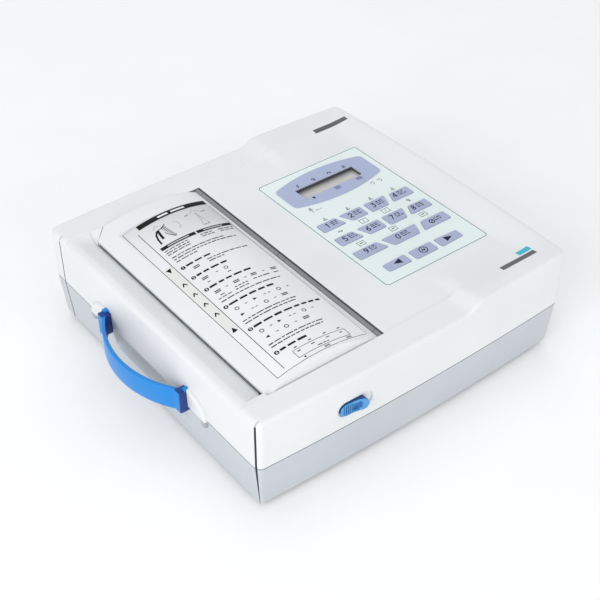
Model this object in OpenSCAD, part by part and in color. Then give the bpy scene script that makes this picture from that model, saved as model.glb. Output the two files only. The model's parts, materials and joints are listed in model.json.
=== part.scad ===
// Portable resting ECG recorder with a full-width thermal printer.
// The body stands on the plane z = 0. +X is the user's right, +Y is the back.
// Sub-parts are drawn about the centre of the body's plan, and at_body() moves them
// so that the origin is at the bottom centre of the whole object, handle included.

/* [Case] */
// Width of the case, left to right
body_w = 296; // [288:1:304]
// Depth of the case at the middle of its bowed front and back
body_d = 287; // [282:1:292]
// Height of the joint between the grey base and the white upper shell
seam_z = 44; // [42:0.5:46]
// Height of the raised rails on the right half, the highest point of the case
rail_high_z = 94.5; // [93:0.5:96]
// Height of the rails round the printer on the left half
rail_low_z = 88.2; // [88:0.1:88.6]
// Wall thickness of the mouldings
wall = 2.5; // [2:0.1:3]
// How far the front and back faces bow outward
bow = 4; // [2:0.5:5]
// How far the right side bulges past the stated width
bulge = 2.5; // [0:0.5:3]

/* [Paper door] */
// Outer radius of the arched door
door_r = 138; // [136:1:142]
// Height of the crown of the door
crown_z = 94.3; // [93.5:0.1:94.4]
// Opening angle of the paper door, in degrees
door_open = 95; // [60:5:95]

/* [Printer] */
// Radius of the rubber platen roller
platen_r = 8; // [7.5:0.1:8]
// Length of the rubber platen roller
platen_len = 212; // [208:1:212]
// Width of the paper roll
paper_w = 208; // [200:1:208]
// Radius of the paper roll
paper_r = 25; // [15:1:26]
// Gear module of the paper drive
gear_module = 1; // [1:1]

/* [Controls] */
// Travel of a key
key_travel = 1; // [0.6:0.1:1.2]
// Travel of the door release slide
latch_travel = 4; // [3:0.5:4]

/* [Handle] */
// How far the strap handle stands out from the left side
handle_reach = 24; // [22:1:26]
// Height of the strap's band
handle_band = 19.5; // [18:0.5:20]

/* [Hidden] */

half_w = body_w / 2;
half_d = body_d / 2;
eps = 0.01;

// Heights of the case
foot_h = 3;
floor_top = foot_h + wall;
deck_z = 87.6;
deck_under = deck_z - wall;

// Base draft: the foot of the wall is set in by this much
draft = 4;
corner_r = 5.5;

// Paper door, seen from the front: an arc between the hinge groove and the exit slot
door_x0 = -124;
door_x1 = -25.4;
door_y0 = -119.6;
door_y1 = 114.2;
door_cx = -74.3;
door_cz = crown_z - door_r;
door_t = 2.2;
door_skirt_z = 82.6;
hinge_x = -22.7;
hinge_z = 84.4;
hinge_pin_r = 1.5;
groove_x1 = -19.9;
knuckle_r = 2.4;
run_gap = 0.05;
gap = 0.4;

// Printer, centred a little in front of the middle of the case
print_y = -2.7;
platen_x = -110;
platen_z = 72;
shaft_r = 3;
platen_end = platen_len / 2;
gear_y = print_y + platen_end + 6.2;
gear_t = 4.5;
platen_teeth = 18;
idler_teeth = 24;
pinion_teeth = 10;
idler_z = platen_z - gear_module * (platen_teeth + idler_teeth) / 2;
pinion_z = idler_z - gear_module * (idler_teeth + pinion_teeth) / 2;
idler_bore = 2.55;
bar_z = 46.6;
sink_z = 50.5;
motor_shaft_r = 1.5;
plate_t = 1.5;
frame_y0 = print_y - platen_end - 6;
frame_y1 = print_y + platen_end + 3.1;
tray_x = -62;
tray_z = 40;
journal_r = 3;

// Deck, overlay and keys
panel = [15.5, -82, 122, 83];
panel_t = 0.4;
window = [38, 45.5, 99, 60.5];
bezel_c = [69.2, 54];
key_top_z = 88.9;
key_bottom_z = 81.6;
lcd_z = 74;
board_z = 77;
mat_t = 0.8;
key_board_holes = [[20, -77], [117, -77], [20, 31], [117, 31]];
lcd_holes = [[33.6, 40], [103.4, 40], [33.6, 66], [103.4, 66]];
key_gap = 0.3;

// Door release slide on the front face
latch_x0 = -80;
latch_len = 24.5;
latch_z = 61;
latch_h = 11.6;
latch_proud = 4.4;
front_face_y = -half_d + bow * pow(65 / half_w, 2);

// Handle
handle_z = 49.2;
handle_half = 57;
block_len = 7;
band_t = 3;
block_t = 7.5;

// The whole object, handle and slide included, is centred on the origin
shift_x = (handle_reach - bulge) / 2;
shift_y = (latch_proud - (half_d + front_face_y)) / 2;

white = "#eef0f2";
shell_grey = "#c3c9cf";
blue = "#3b98ee";
steel = "#b9bdc2";
lavender = "#b5bbdd";

module at_body() {
    translate([shift_x, shift_y, 0]) children();
}

// Shape helpers ---------------------------------------------------------------

// A box from its low corner to its high corner
module block(a, b) {
    translate(a) cube(b - a);
}

// A cylinder along Y between two values of y
module rod_y(x, z, r, y0, y1, fn = 48) {
    translate([x, y1, z]) rotate([90, 0, 0]) cylinder(r = r, h = y1 - y0, $fn = fn);
}

// A cylinder along X between two values of x
module rod_x(y, z, r, x0, x1, fn = 48) {
    translate([x0, y, z]) rotate([0, 90, 0]) cylinder(r = r, h = x1 - x0, $fn = fn);
}

// An outline drawn in X and Z, extruded between two values of y
module profile_y(y0, y1) {
    translate([0, y1, 0]) rotate([90, 0, 0]) linear_extrude(y1 - y0) children();
}

// An outline drawn in Y and Z, extruded between two values of x
module profile_x(x0, x1) {
    translate([x0, 0, 0]) rotate([90, 0, 90]) linear_extrude(x1 - x0) children();
}

// Half depth of the bowed plan at x
function bow_y(x) = half_d - bow * pow(x / half_w, 2);

// Right side of the plan at y
function side_x(y) = half_w + bulge - (bulge + 1) * pow(y / half_d, 2);

// Plan of the case set in by d: bowed front and back, straight sides, round corners
function arc_pts(cx, cy, r, a0) =
    [for (i = [0:6]) [cx + r * cos(a0 + i * 15), cy + r * sin(a0 + i * 15)]];
function bow_pts(side, d) =
    [for (i = [-4:4])
        let (x = -side * i * (half_w - corner_r * 2) / 4)
        [x, side * (bow_y(x) - d)]];
function side_pts(d, cy) =
    [for (i = [-3:3]) [side_x(i * cy / 4) - d, i * cy / 4]];
function plan_pts(d) =
    let (r = max(corner_r - d, 1), k = max(corner_r, d + r))
    let (cx = half_w - k, cy = bow_y(half_w - corner_r) - k, rx = side_x(cy) - k)
    concat(
        arc_pts(rx, -cy, r, -90),
        side_pts(d, cy),
        arc_pts(rx, cy, r, 0),
        bow_pts(1, d),
        arc_pts(-cx, cy, r, 90),
        arc_pts(-cx, -cy, r, 180),
        bow_pts(-1, d));

module plan(d) {
    polygon(plan_pts(d));
}

// A thin slice of the plan, used as one ring of a drafted wall
module slice(z, d) {
    translate([0, 0, z]) linear_extrude(eps) plan(d);
}

// Top line of the case from left to right: low rails, an S ramp, high rails
ramp_x0 = 40;
ramp_x1 = 56;
function ease(t) = t * t * (3 - 2 * t);
function top_line() =
    concat(
        [[-half_w - 1, 0], [-half_w - 1, rail_low_z]],
        [for (i = [0:10])
            [ramp_x0 + (ramp_x1 - ramp_x0) * i / 10,
             rail_low_z + (rail_high_z - rail_low_z) * ease(i / 10)]],
        [[half_w + 5, rail_high_z], [half_w + 5, 0]]);

// Spur gear blank with straight-sided teeth, one tooth pointing along +X
function gear_pts(n, m) =
    let (rp = n * m / 2, ro = rp + 0.8 * m, ri = rp - 1.05 * m, p = 360 / n)
    [for (i = [0:n - 1])
        each [
            [ri * cos((i - 0.30) * p), ri * sin((i - 0.30) * p)],
            [ro * cos((i - 0.10) * p), ro * sin((i - 0.10) * p)],
            [ro * cos((i + 0.10) * p), ro * sin((i + 0.10) * p)],
            [ri * cos((i + 0.30) * p), ri * sin((i + 0.30) * p)]]];

module gear(x, z, n, bore, turn) {
    translate([x, gear_y + gear_t / 2, z]) rotate([90, 0, 0])
        difference() {
            rotate([0, 0, turn]) linear_extrude(gear_t) polygon(gear_pts(n, gear_module));
            translate([0, 0, -1]) cylinder(r = bore, h = gear_t + 2, $fn = 48);
        }
}

// Case ------------------------------------------------------------------------

screw_posts = [[-134, -128], [134, -126], [-134, 126], [134, 126]];
foot_places = [[-126, -118], [126, -118], [-126, 116], [126, 116]];
bay = [38, -124, 114, -66];
rear_bay = [51, 136];
serial_bay = [-34, 14];
side_bay = [-58, 0];
bay_depth = 5.5;
scoop_r = 28;
bay_z = [9, 40];

module scoop_backing() {
    // wall that follows the scoop on the inside
    profile_y(-51.5, 51.5)
        intersection() {
            translate([-half_w + 2, 16]) square([24, seam_z - 16]);
            translate([-164, seam_z + 2]) circle(r = scoop_r + wall, $fn = 96);
        }
}

module finger_scoop() {
    // concave hollow behind the strap, open to the left and closed above by the upper shell
    profile_y(-49, 49)
        intersection() {
            translate([-160, 16]) square([26, seam_z - 15]);
            translate([-164, seam_z + 2]) circle(r = scoop_r, $fn = 96);
        }
}

module base_shell() {
    color(shell_grey) at_body() difference() {
        union() {
            difference() {
                hull() {
                    slice(foot_h, draft + 2.5);
                    slice(foot_h + 3, draft - 0.4);
                    slice(seam_z - eps, 0);
                }
                hull() {
                    slice(floor_top, draft + wall);
                    slice(seam_z + 1, wall);
                }
            }
            intersection() {
                union() {
                    scoop_backing();
                    block([rear_bay[0] - 3, half_d - 14, floor_top - 1], [rear_bay[1] + 3, half_d - 4, seam_z]);
                    block([serial_bay[0] - 3, half_d - 14, floor_top - 1], [serial_bay[1] + 3, half_d - 4, seam_z]);
                    block([half_w - 12, side_bay[0] - 3, floor_top - 1], [half_w, side_bay[1] + 3, seam_z]);
                }
                hull() {
                    slice(foot_h, draft + 1);
                    slice(seam_z - eps, 1);
                }
            }
            for (p = screw_posts) translate([p[0], p[1], foot_h + 1]) cylinder(r = 4.5, h = seam_z - foot_h - 1, $fn = 48);
            base_furniture();
            // the end of each handle fairing carries on a little below the seam
            for (s = [-1, 1]) fairing_tip(s);
        }
        finger_scoop();
        for (p = screw_posts) translate([p[0], p[1], foot_h - 1]) {
            cylinder(r = 1.7, h = 50, $fn = 48);
            cylinder(r = 3.2, h = 8, $fn = 48);
        }
        for (p = foot_places) translate([p[0], p[1], foot_h - 1]) cylinder(r = 6.6, h = 2, $fn = 48);
        // port bays: flat walls behind shallow recesses
        block([rear_bay[0], half_d - bay_depth - 2, bay_z[0]], [rear_bay[1], half_d + 2, bay_z[1]]);
        block([serial_bay[0], half_d - bay_depth - 2, bay_z[0]], [serial_bay[1], half_d + 2, bay_z[1]]);
        block([half_w - bay_depth, side_bay[0], bay_z[0]], [half_w + 5, side_bay[1], bay_z[1]]);
        // hollow behind the bays, leaving a flat wall
        block([rear_bay[0] - 1, half_d - 20, floor_top], [rear_bay[1] + 1, half_d - bay_depth - 2 - wall, seam_z + 1]);
        block([serial_bay[0] - 1, half_d - 20, floor_top], [serial_bay[1] + 1, half_d - bay_depth - 2 - wall, seam_z + 1]);
        block([half_w - 20, side_bay[0] - 1, floor_top], [half_w - bay_depth - wall, side_bay[1] + 1, seam_z + 1]);
        // cut-outs for the inlet, the switch, the stud and the connectors
        block([inlet_x - 13.6, half_d - 20, port_z - 10], [inlet_x + 13.6, half_d, port_z + 10]);
        block([switch_x - 6.6, half_d - 20, port_z - 9.7], [switch_x + 6.6, half_d, port_z + 9.7]);
        rod_y(stud_x, port_z, 3.1, half_d - 20, half_d);
        block([serial_x - 8.6, half_d - 20, port_z - 4.6], [serial_x + 8.6, half_d, port_z + 4.6]);
        block([half_w - 20, patient_y - 12.8, port_z - 4.6], [half_w, patient_y + 12.8, port_z + 4.6]);
        for (s = [-1, 1]) {
            rod_y(serial_x + s * 12.5, port_z, 1.6, half_d - 20, half_d);
            rod_y(inlet_x + s * 20, port_z, 1.7, half_d - 20, half_d);
            translate([half_w - 20, patient_y + s * 16.65, port_z]) rotate([0, 90, 0])
                cylinder(r = 1.6, h = 20, $fn = 48);
        }
        // battery bay in the floor
        block([bay[0], bay[1], foot_h - 1], [bay[2], bay[3], floor_top + 1]);
        // vent slots under the power supply
        for (i = [0:5]) block([64 + i * 8, 84, foot_h - 1], [67 + i * 8, 106, floor_top + 1]);
        // grille of the speaker
        for (a = [0:60:300]) translate([speaker_p[0] + 6 * cos(a), speaker_p[1] + 6 * sin(a), foot_h - 1])
            cylinder(r = 1.2, h = wall + 2, $fn = 32);
        // vertical grooves near the left corners
        left_grooves(foot_h - 1, seam_z + 1);
    }
}

// Vertical styling grooves on the left side
groove_w = 1.2;
module left_grooves(z0, z1) {
    for (y = [124, -140.2]) block([-half_w - 1, y - groove_w / 2, z0], [-half_w + 2, y + groove_w / 2, z1]);
}

// Fairing beside the end of the strap: a quarter-round plate that stands on the seam
fairing_len = 22;
fairing_high = 16.5;
fairing_proud = 2.6;
tip_len = 6;
tip_z = 37;
module handle_fairing(s) {
    profile_x(-half_w - fairing_proud, -half_w + 2)
        polygon(concat([[s * handle_half, seam_z]],
            [for (i = [0:12]) [s * (handle_half + fairing_len * sin(i * 7.5)), seam_z + fairing_high * cos(i * 7.5)]]));
}

module fairing_tip(s) {
    y0 = s > 0 ? handle_half + fairing_len - tip_len : -handle_half - fairing_len;
    r = tip_len / 2;
    profile_x(-half_w - fairing_proud + 0.3, -half_w + 3) union() {
        translate([y0, tip_z + r]) square([tip_len, seam_z - eps - tip_z - r]);
        translate([y0 + r, tip_z + r]) circle(r = r, $fn = 48);
    }
}

// Walls, posts and standoffs on the floor of the base
speaker_p = [20, 92];
board_posts = [[-8, -52], [128, -52], [-8, 58], [128, 58]];
supply_posts = [[60, 75], [128, 75], [60, 114], [128, 114]];
module base_furniture() {
    for (p = board_posts) translate([p[0], p[1], floor_top - 1]) cylinder(r = 3, h = 31 - floor_top, $fn = 32);
    for (p = supply_posts) translate([p[0], p[1], floor_top - 1]) cylinder(r = 3, h = 11 - floor_top, $fn = 32);
    difference() {
        block([bay[0] - 1.8, bay[1] - 1.8, floor_top - 1], [bay[2] + 1.8, bay[3] + 1.8, 17]);
        block([bay[0], bay[1], 0], [bay[2], bay[3], 20]);
    }
}

// Side view of the paper exit: it falls from the left rail to a lip just under the edge of the door
lip_z = 81.6;
trough = [[-141, rail_low_z + 2], [-141, rail_low_z], [-136, 86.2], [-130, 83.6], [-124.5, lip_z], [-124.5, rail_low_z + 2]];

// Ramp that closes the back end of the exit, and follows the cut-off corner of the door
module exit_ramp() {
    intersection() {
        linear_extrude(100) polygon([[-141, 104], [-124.9, 104], [-118.4, 110.1], [-113.3, 115.2], [-113.3, 118], [-141, 118]]);
        profile_x(-141, -113) polygon([[103.9, 79], [103.9, lip_z], [117.6, rail_low_z], [118, rail_low_z], [118, 79]]);
    }
}

module upper_shell() {
    color(white) at_body() difference() {
        union() {
            upper_moulding();
            exit_ramp();
            // hinge knuckles of the case, at both ends and in the middle
            for (y = hinge_case_y) {
                rod_y(hinge_x, hinge_z, knuckle_r, y - 4, y + 4);
                block([hinge_x, y - 4, hinge_z - knuckle_r], [groove_x1 + 2, y + 4, hinge_z - 0.4]);
                block([groove_x1, y - 4, hinge_z - knuckle_r], [groove_x1 + 2, y + 4, deck_under + eps]);
            }
            // bosses under the deck for the key board and the display board
            for (p = key_board_holes) translate([p[0], p[1], board_z + 1.6])
                cylinder(r = 3.2, h = deck_under - board_z - 1.6 + eps, $fn = 32);
            for (p = lcd_holes) translate([p[0], p[1], lcd_z + 1.6])
                cylinder(r = 2.2, h = deck_under - lcd_z - 1.6 + eps, $fn = 32);
        }
        rod_y(hinge_x, hinge_z, hinge_pin_r + run_gap, -122, 116.6);
    }
}

module upper_moulding() {
    difference() {
        union() {
            difference() {
                intersection() {
                    translate([0, 0, seam_z]) linear_extrude(60) plan(0);
                    profile_y(-half_d - 1, half_d + 1) polygon(top_line());
                }
                difference() {
                    translate([0, 0, seam_z - 1]) linear_extrude(deck_under - seam_z + 1) plan(wall);
                    // floor of the paper exit trough
                    profile_y(-119, 121) polygon([[-147, 90], [-147, 84.5], [-141, 84.5], [-124.6, 77], [-124.6, 90]]);
                    // shelf that closes the finger scoop from above
                    block([-half_w + 1, -53, seam_z - 2], [-131, 53, seam_z + wall]);
                    // posts that take the case screws
                    for (p = screw_posts) translate([p[0], p[1], seam_z - 6.5]) cylinder(r = 4.5, h = 48, $fn = 48);
                }
                // hollow rails on the right
                for (s = [-1, 1]) block([62, s * 134.5 - 3.5, deck_under - 1], [136, s * 134.5 + 3.5, rail_high_z - 3]);
            }
            for (s = [-1, 1]) handle_fairing(s);
        }
        // posts: the lower 6.5 mm of each stands inside the base, so it is trimmed to the seam
        translate([0, 0, seam_z - 12]) linear_extrude(12) square(400, center = true);
        for (p = screw_posts) translate([p[0], p[1], seam_z - 1]) cylinder(r = 1.25, h = 30, $fn = 48);
        // paper compartment and hinge groove
        block([door_x0 - 0.6, door_y0 - gap, 76], [groove_x1, door_y1 + gap, 96]);
        profile_y(-116.5, 117.5) polygon(trough);
        // the deck, a shallow step lower than the rails
        block([groove_x1 - 1, -120, deck_z], [52, 117, 96]);
        // dished deck of the right half, rising gently to the rails and the right side
        hull() {
            block([30, -90, deck_z], [124, 88, 88]);
            block([30, -137.6, rail_high_z + 0.6], [146, 131.5, rail_high_z + 1]);
        }
        // keys
        for (k = key_table) translate([0, 0, deck_z - 10])
            linear_extrude(20) polygon(key_outline(k, key_gap));
        // display
        block([window[0], window[1], 70], [window[2], window[3], 90]);
        // door release slide: shallow recess and the slot behind it
        latch_pocket();
        block([latch_x0 + 4, -half_d - 1, latch_z - 2.6], [latch_x0 + 16 + latch_travel, -half_d + 12, latch_z + 2.6]);
        // screws of the handle come through from the inside
        for (s = [-1, 1]) translate([-half_w - 2, s * (handle_half - block_len / 2), handle_z]) rotate([0, 90, 0])
            cylinder(r = 1.6, h = 8, $fn = 48);
        left_grooves(seam_z - 1, 100);
    }
}

// Shallow oblong recess in the front face round the release slide
module latch_pocket() {
    r = latch_h / 2 + 0.4;
    for (x = [latch_x0 + r - 0.4, latch_x0 + latch_len + latch_travel - r + 0.8])
        rod_y(x, latch_z, r, -half_d - 2, front_face_y + 1.6, 64);
    block([latch_x0 + r - 0.4, -half_d - 2, latch_z - r],
        [latch_x0 + latch_len + latch_travel - r + 0.8, front_face_y + 1.6, latch_z + r]);
}

module carry_handle() {
    // an arc of strap between two thick end blocks, fixed to the left side
    span = handle_half - block_len;
    sag = handle_reach - block_t - 0.7;
    r = (span * span + sag * sag) / (2 * sag);
    cx = -half_w - handle_reach + r;
    color(blue) at_body() difference() {
        union() {
            intersection() {
                translate([cx, 0, handle_z - handle_band / 2]) difference() {
                    cylinder(r = r, h = handle_band, $fn = 128);
                    translate([0, 0, -1]) cylinder(r = r - band_t, h = handle_band + 2, $fn = 128);
                }
                block([-half_w - handle_reach - 1, -span - 2, 0], [-half_w - 2, span + 2, 100]);
            }
            for (s = [-1, 1]) {
                y0 = s > 0 ? span : -handle_half;
                block([-half_w - block_t - 0.7, y0, handle_z - handle_band / 2],
                    [-half_w, y0 + block_len, handle_z + handle_band / 2]);
                // small lug on top of each end block
                block([-half_w - 4, s > 0 ? handle_half - 4 : -handle_half, handle_z + handle_band / 2 - 1],
                    [-half_w, s > 0 ? handle_half : -handle_half + 4, handle_z + handle_band / 2 + 1.6]);
            }
        }
        for (s = [-1, 1]) translate([-half_w - 5, s * (handle_half - block_len / 2), handle_z]) rotate([0, 90, 0])
            cylinder(r = 1.25, h = 6, $fn = 48);
    }
}

module handle_screws() {
    color(steel) at_body() for (s = [-1, 1])
        translate([-half_w - 4.6, s * (handle_half - block_len / 2), handle_z]) rotate([0, 90, 0]) {
            cylinder(r = 1.25, h = 4.6 + wall + eps, $fn = 48);
            translate([0, 0, 4.6 + wall]) cylinder(r = 2.6, h = 2, $fn = 48);
        }
}

module rubber_feet() {
    color("#3a3d40") at_body() for (p = foot_places) translate([p[0], p[1], 0]) cylinder(r = 6.5, h = foot_h + 1, $fn = 48);
}

module case_screws() {
    color(steel) at_body() for (p = screw_posts) translate([p[0], p[1], foot_h]) {
        translate([0, 0, 4]) cylinder(r = 3, h = 3, $fn = 48);
        translate([0, 0, 6.9]) cylinder(r = 1.25, h = 45, $fn = 48);
    }
}

// Deck: overlay, display and keys ---------------------------------------------

// Each key: name, plan corners from low left, anticlockwise
key_table = [
    ["key_1", [[21, -0.5], [43, -0.5], [39, 10], [21, 10]]],
    ["key_2", [[50, -1.5], [65.5, -1.5], [65.5, 10], [44.5, 10]]],
    ["key_3", [[70, -2], [87, -2], [91.5, 10], [70, 10]]],
    ["key_4", [[93, -1.5], [115, -1.5], [115, 9], [97, 9]]],
    ["key_5", [[21, -22.8], [42.5, -22.8], [38.5, -12.3], [21, -12.3]]],
    ["key_6", [[49, -24], [65.5, -24], [65.5, -12.5], [44.5, -12.5]]],
    ["key_7", [[70, -24.3], [87, -24.3], [91.5, -12.5], [70, -12.5]]],
    ["key_8", [[92.5, -24], [115, -24], [115, -13.8], [97, -13.8]]],
    ["key_9", [[21, -45], [49, -45], [44.5, -34.8], [21, -34.8]]],
    ["key_0", [[54.5, -46.7], [80.5, -46.7], [85, -35.2], [50.5, -35.2]]],
    ["key_function", [[86.5, -46.5], [114.5, -46.5], [114.5, -36], [91, -36]]],
    ["key_left", [[29, -69.5], [51, -70], [51, -60], [29, -61]]],
    ["key_record", [[56, -70.8], [78, -70.8], [78, -60.2], [56, -60.2]]],
    ["key_right", [[82.5, -70.8], [105, -70], [105, -61.5], [82.5, -60.5]]]
];

// Unit vector from a to b
function dir(a, b) = (b - a) / norm(b - a);
// Corner b of a convex outline with its two edges moved out by g
function moved(a, b, c, g) =
    let (u = dir(a, b), v = dir(b, c), s = u[0] * v[1] - u[1] * v[0])
    b + g * (u - v) / s;
// Round corner: a short arc between the two edges that meet at b
function rounded(a, b, c, r) =
    let (u = dir(b, a), v = dir(b, c), t = r)
    [for (i = [0:4]) let (w = i / 4) b + t * (u * (1 - w) * (1 - w) + v * w * w)];
function key_outline(k, g) =
    let (p = k[1], q = [for (i = [0:3]) moved(p[(i + 3) % 4], p[i], p[(i + 1) % 4], g)])
    [for (i = [0:3]) each rounded(q[(i + 3) % 4], q[i], q[(i + 1) % 4], 1.6)];

module key_cap(i) {
    k = key_table[i];
    color(lavender) at_body() {
        translate([0, 0, key_bottom_z]) linear_extrude(key_top_z - key_bottom_z) polygon(key_outline(k, 0));
        translate([0, 0, key_bottom_z]) linear_extrude(1) polygon(key_outline(k, 1));
    }
}

module key_1() { key_cap(0); }
module key_2() { key_cap(1); }
module key_3() { key_cap(2); }
module key_4() { key_cap(3); }
module key_5() { key_cap(4); }
module key_6() { key_cap(5); }
module key_7() { key_cap(6); }
module key_8() { key_cap(7); }
module key_9() { key_cap(8); }
module key_0() { key_cap(9); }
module key_function() { key_cap(10); }
module key_left() { key_cap(11); }
module key_record() { key_cap(12); }
module key_right() { key_cap(13); }

// Outline of the display bezel: straight ends and bowed long sides
function bezel_pts(half_x, end_y, mid_y) =
    [for (s = [-1, 1]) each [for (i = [-8:8])
        let (x = s * i * half_x / 8)
        [bezel_c[0] - x, bezel_c[1] + s * (mid_y - (mid_y - end_y) * pow(x / half_x, 2))]]];

module keypad_overlay() {
    color("#e6f1ec") at_body() difference() {
        block([panel[0], panel[1], deck_z], [panel[2], panel[3], deck_z + panel_t]);
        for (k = key_table) translate([0, 0, deck_z - 1]) linear_extrude(4) polygon(key_outline(k, key_gap));
        block([window[0], window[1], deck_z - 1], [window[2], window[3], deck_z + 2]);
    }
}

module display_bezel() {
    color(lavender) at_body() difference() {
        translate([0, 0, deck_z + panel_t]) linear_extrude(0.5) polygon(bezel_pts(46, 14, 21.8));
        block([window[0], window[1], deck_z - 1], [window[2], window[3], deck_z + 2]);
    }
}

module display_window() {
    color("#cfd3d2", 0.4) at_body()
        block([window[0] - 1.5, window[1] - 1.5, deck_under - 1.5], [window[2] + 1.5, window[3] + 1.5, deck_under]);
}

module lcd_module() {
    color("#5f7a5a") at_body() {
        block([window[0] - 7, window[1] - 8, lcd_z], [window[2] + 7, window[3] + 8, lcd_z + 1.6]);
        block([window[0] - 1, window[1] - 3, lcd_z + 1.6], [window[2] + 1, window[3] + 3, deck_under - 1.5]);
    }
}

module keypad_board() {
    color("#2f7a4a") at_body() difference() {
        block([17, -80, board_z], [120, 34, board_z + 1.6]);
        for (p = key_board_holes) translate([p[0], p[1], board_z - 1]) cylinder(r = 1.6, h = 4, $fn = 32);
    }
}

module dome_mat() {
    // rubber sheet with one dome under each key
    color("#e9e4d6") at_body() {
        block([26, -74, board_z + 1.6], [113, 14, board_z + 1.6 + mat_t]);
        for (k = key_table) {
            c = (k[1][0] + k[1][1] + k[1][2] + k[1][3]) / 4;
            translate([c[0], c[1], board_z + 2.4]) cylinder(r = 3, h = key_bottom_z - key_travel - board_z - 2.5, $fn = 24);
        }
    }
}

// Electronics -----------------------------------------------------------------

module main_board() {
    color("#2f7a4a") at_body() {
        block([-12, -56, 30], [132, 62, 31.6]);
        // processor, memory, analogue shield and connectors
        block([20, -20, 31.6], [44, 4, 34]);
        block([56, -24, 31.6], [70, -14, 33.6]);
        block([56, -6, 31.6], [70, 4, 33.6]);
        block([86, -46, 31.6], [124, -8, 40]);
        block([0, 30, 31.6], [26, 36, 39]);
        block([60, 48, 31.6], [96, 54, 38]);
        for (x = [8:14:50]) translate([x, 50, 31.6]) cylinder(r = 4, h = 9, $fn = 32);
    }
}

module power_supply() {
    color("#2f7a4a") at_body() {
        block([57, 72, 10], [131, 117, 11.6]);
        block([67, 80, 11.6], [95, 106, 34]);
        translate([109, 84, 11.6]) cylinder(r = 8, h = 26, $fn = 32);
        translate([109, 104, 11.6]) cylinder(r = 5, h = 18, $fn = 32);
        block([119, 80, 11.6], [123, 108, 32]);
    }
}

module battery_pack() {
    // five cells side by side in a shrink sleeve
    cell_r = 7.2;
    y0 = bay[1] + 3;
    y1 = bay[3] - 4;
    color("#3f6fb0") at_body() {
        for (i = [0:4]) rod_y(bay[0] + 9 + i * 14.2, floor_top - 0.2 + cell_r, cell_r, y0, y1);
        block([bay[0] + 9, y0 + 1, floor_top + 1], [bay[0] + 9 + 4 * 14.2, y1 - 1, floor_top + 2 * cell_r - 1.5]);
    }
}

module battery_cover() {
    color(shell_grey) at_body() {
        block([bay[0] + 0.3, bay[1] + 0.3, foot_h], [bay[2] - 0.3, bay[3] - 0.3, floor_top - 0.2]);
        // finger catch moulded in the front edge
        block([(bay[0] + bay[2]) / 2 - 8, bay[1] + 0.3, floor_top - 0.3], [(bay[0] + bay[2]) / 2 + 8, bay[1] + 1.8, floor_top + 4]);
    }
}

module speaker() {
    color("#333333") at_body() translate([speaker_p[0], speaker_p[1], floor_top]) {
        cylinder(r = 14, h = 3, $fn = 48);
        translate([0, 0, 2.9]) cylinder(r = 8, h = 5, $fn = 48);
    }
}

// Ports -----------------------------------------------------------------------

port_z = 24;
inlet_x = 109;
switch_x = 75;
stud_x = 59;
serial_x = -10;
patient_y = -29;
rear_wall_y = half_d - bay_depth - 2;
side_wall_x = half_w - bay_depth;
rocker_y = rear_wall_y - 2;
trunnion_r = 1.2;

module power_inlet() {
    color("#26282a") at_body() difference() {
        union() {
            block([inlet_x - 13.4, rear_wall_y - 16, port_z - 9.8], [inlet_x + 13.4, rear_wall_y, port_z + 9.8]);
            block([inlet_x - 24.5, rear_wall_y, port_z - 11.4], [inlet_x + 24.5, rear_wall_y + 2, port_z + 11.4]);
        }
        for (s = [-1, 1]) rod_y(inlet_x + s * 20, port_z, 1.7, rear_wall_y - 1, rear_wall_y + 3);
        difference() {
            block([inlet_x - 12, rear_wall_y - 13.5, port_z - 8.2], [inlet_x + 12, rear_wall_y + 3, port_z + 8.2]);
            for (p = [[-7, -2], [0, 3], [7, -2]])
                block([inlet_x + p[0] - 1, rear_wall_y - 14, port_z + p[1] - 2], [inlet_x + p[0] + 1, rear_wall_y - 3, port_z + p[1] + 2]);
        }
    }
}

module rocker_housing() {
    color("#26282a") at_body() difference() {
        union() {
            block([switch_x - 6.4, rear_wall_y - 14, port_z - 9.5], [switch_x + 6.4, rear_wall_y, port_z + 9.5]);
            block([switch_x - 7.4, rear_wall_y, port_z - 10.5], [switch_x + 7.4, rear_wall_y + 1.5, port_z + 10.5]);
        }
        block([switch_x - 4.8, rear_wall_y - 10, port_z - 8.6], [switch_x + 4.8, rear_wall_y + 3, port_z + 8.6]);
        rod_x(rocker_y, port_z, trunnion_r + run_gap, switch_x - 5.9, switch_x + 5.9);
    }
}

module power_rocker() {
    // rocks about an X axis on the centre of the housing
    color("#303336") at_body() union() {
        rod_x(rocker_y, port_z, trunnion_r, switch_x - 5.6, switch_x + 5.6);
        intersection() {
        profile_x(switch_x - 4.4, switch_x + 4.4)
            polygon([[rear_wall_y - 4, port_z - 6], [rear_wall_y + 0.6, port_z - 7.4], [rear_wall_y + 1, port_z],
                [rear_wall_y + 3, port_z + 7.0], [rear_wall_y - 4, port_z + 6]]);
            rod_x(rocker_y, port_z, 8.3, switch_x - 5, switch_x + 5);
        }
    }
}

module ground_stud() {
    color("#c9b458") at_body() {
        rod_y(stud_x, port_z, 3, rear_wall_y - 8, rear_wall_y + 7);
        rod_y(stud_x, port_z, 5, rear_wall_y, rear_wall_y + 1.4, 6);
        rod_y(stud_x, port_z, 5.4, rear_wall_y - 5.6, rear_wall_y - wall, 6);
    }
}

module d_shell(w, h, depth) {
    // D-shaped connector face, drawn in X and Z
    linear_extrude(depth) polygon([[-w / 2 + 1.2, -h / 2], [w / 2 - 1.2, -h / 2], [w / 2, h / 2], [-w / 2, h / 2]]);
}

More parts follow.
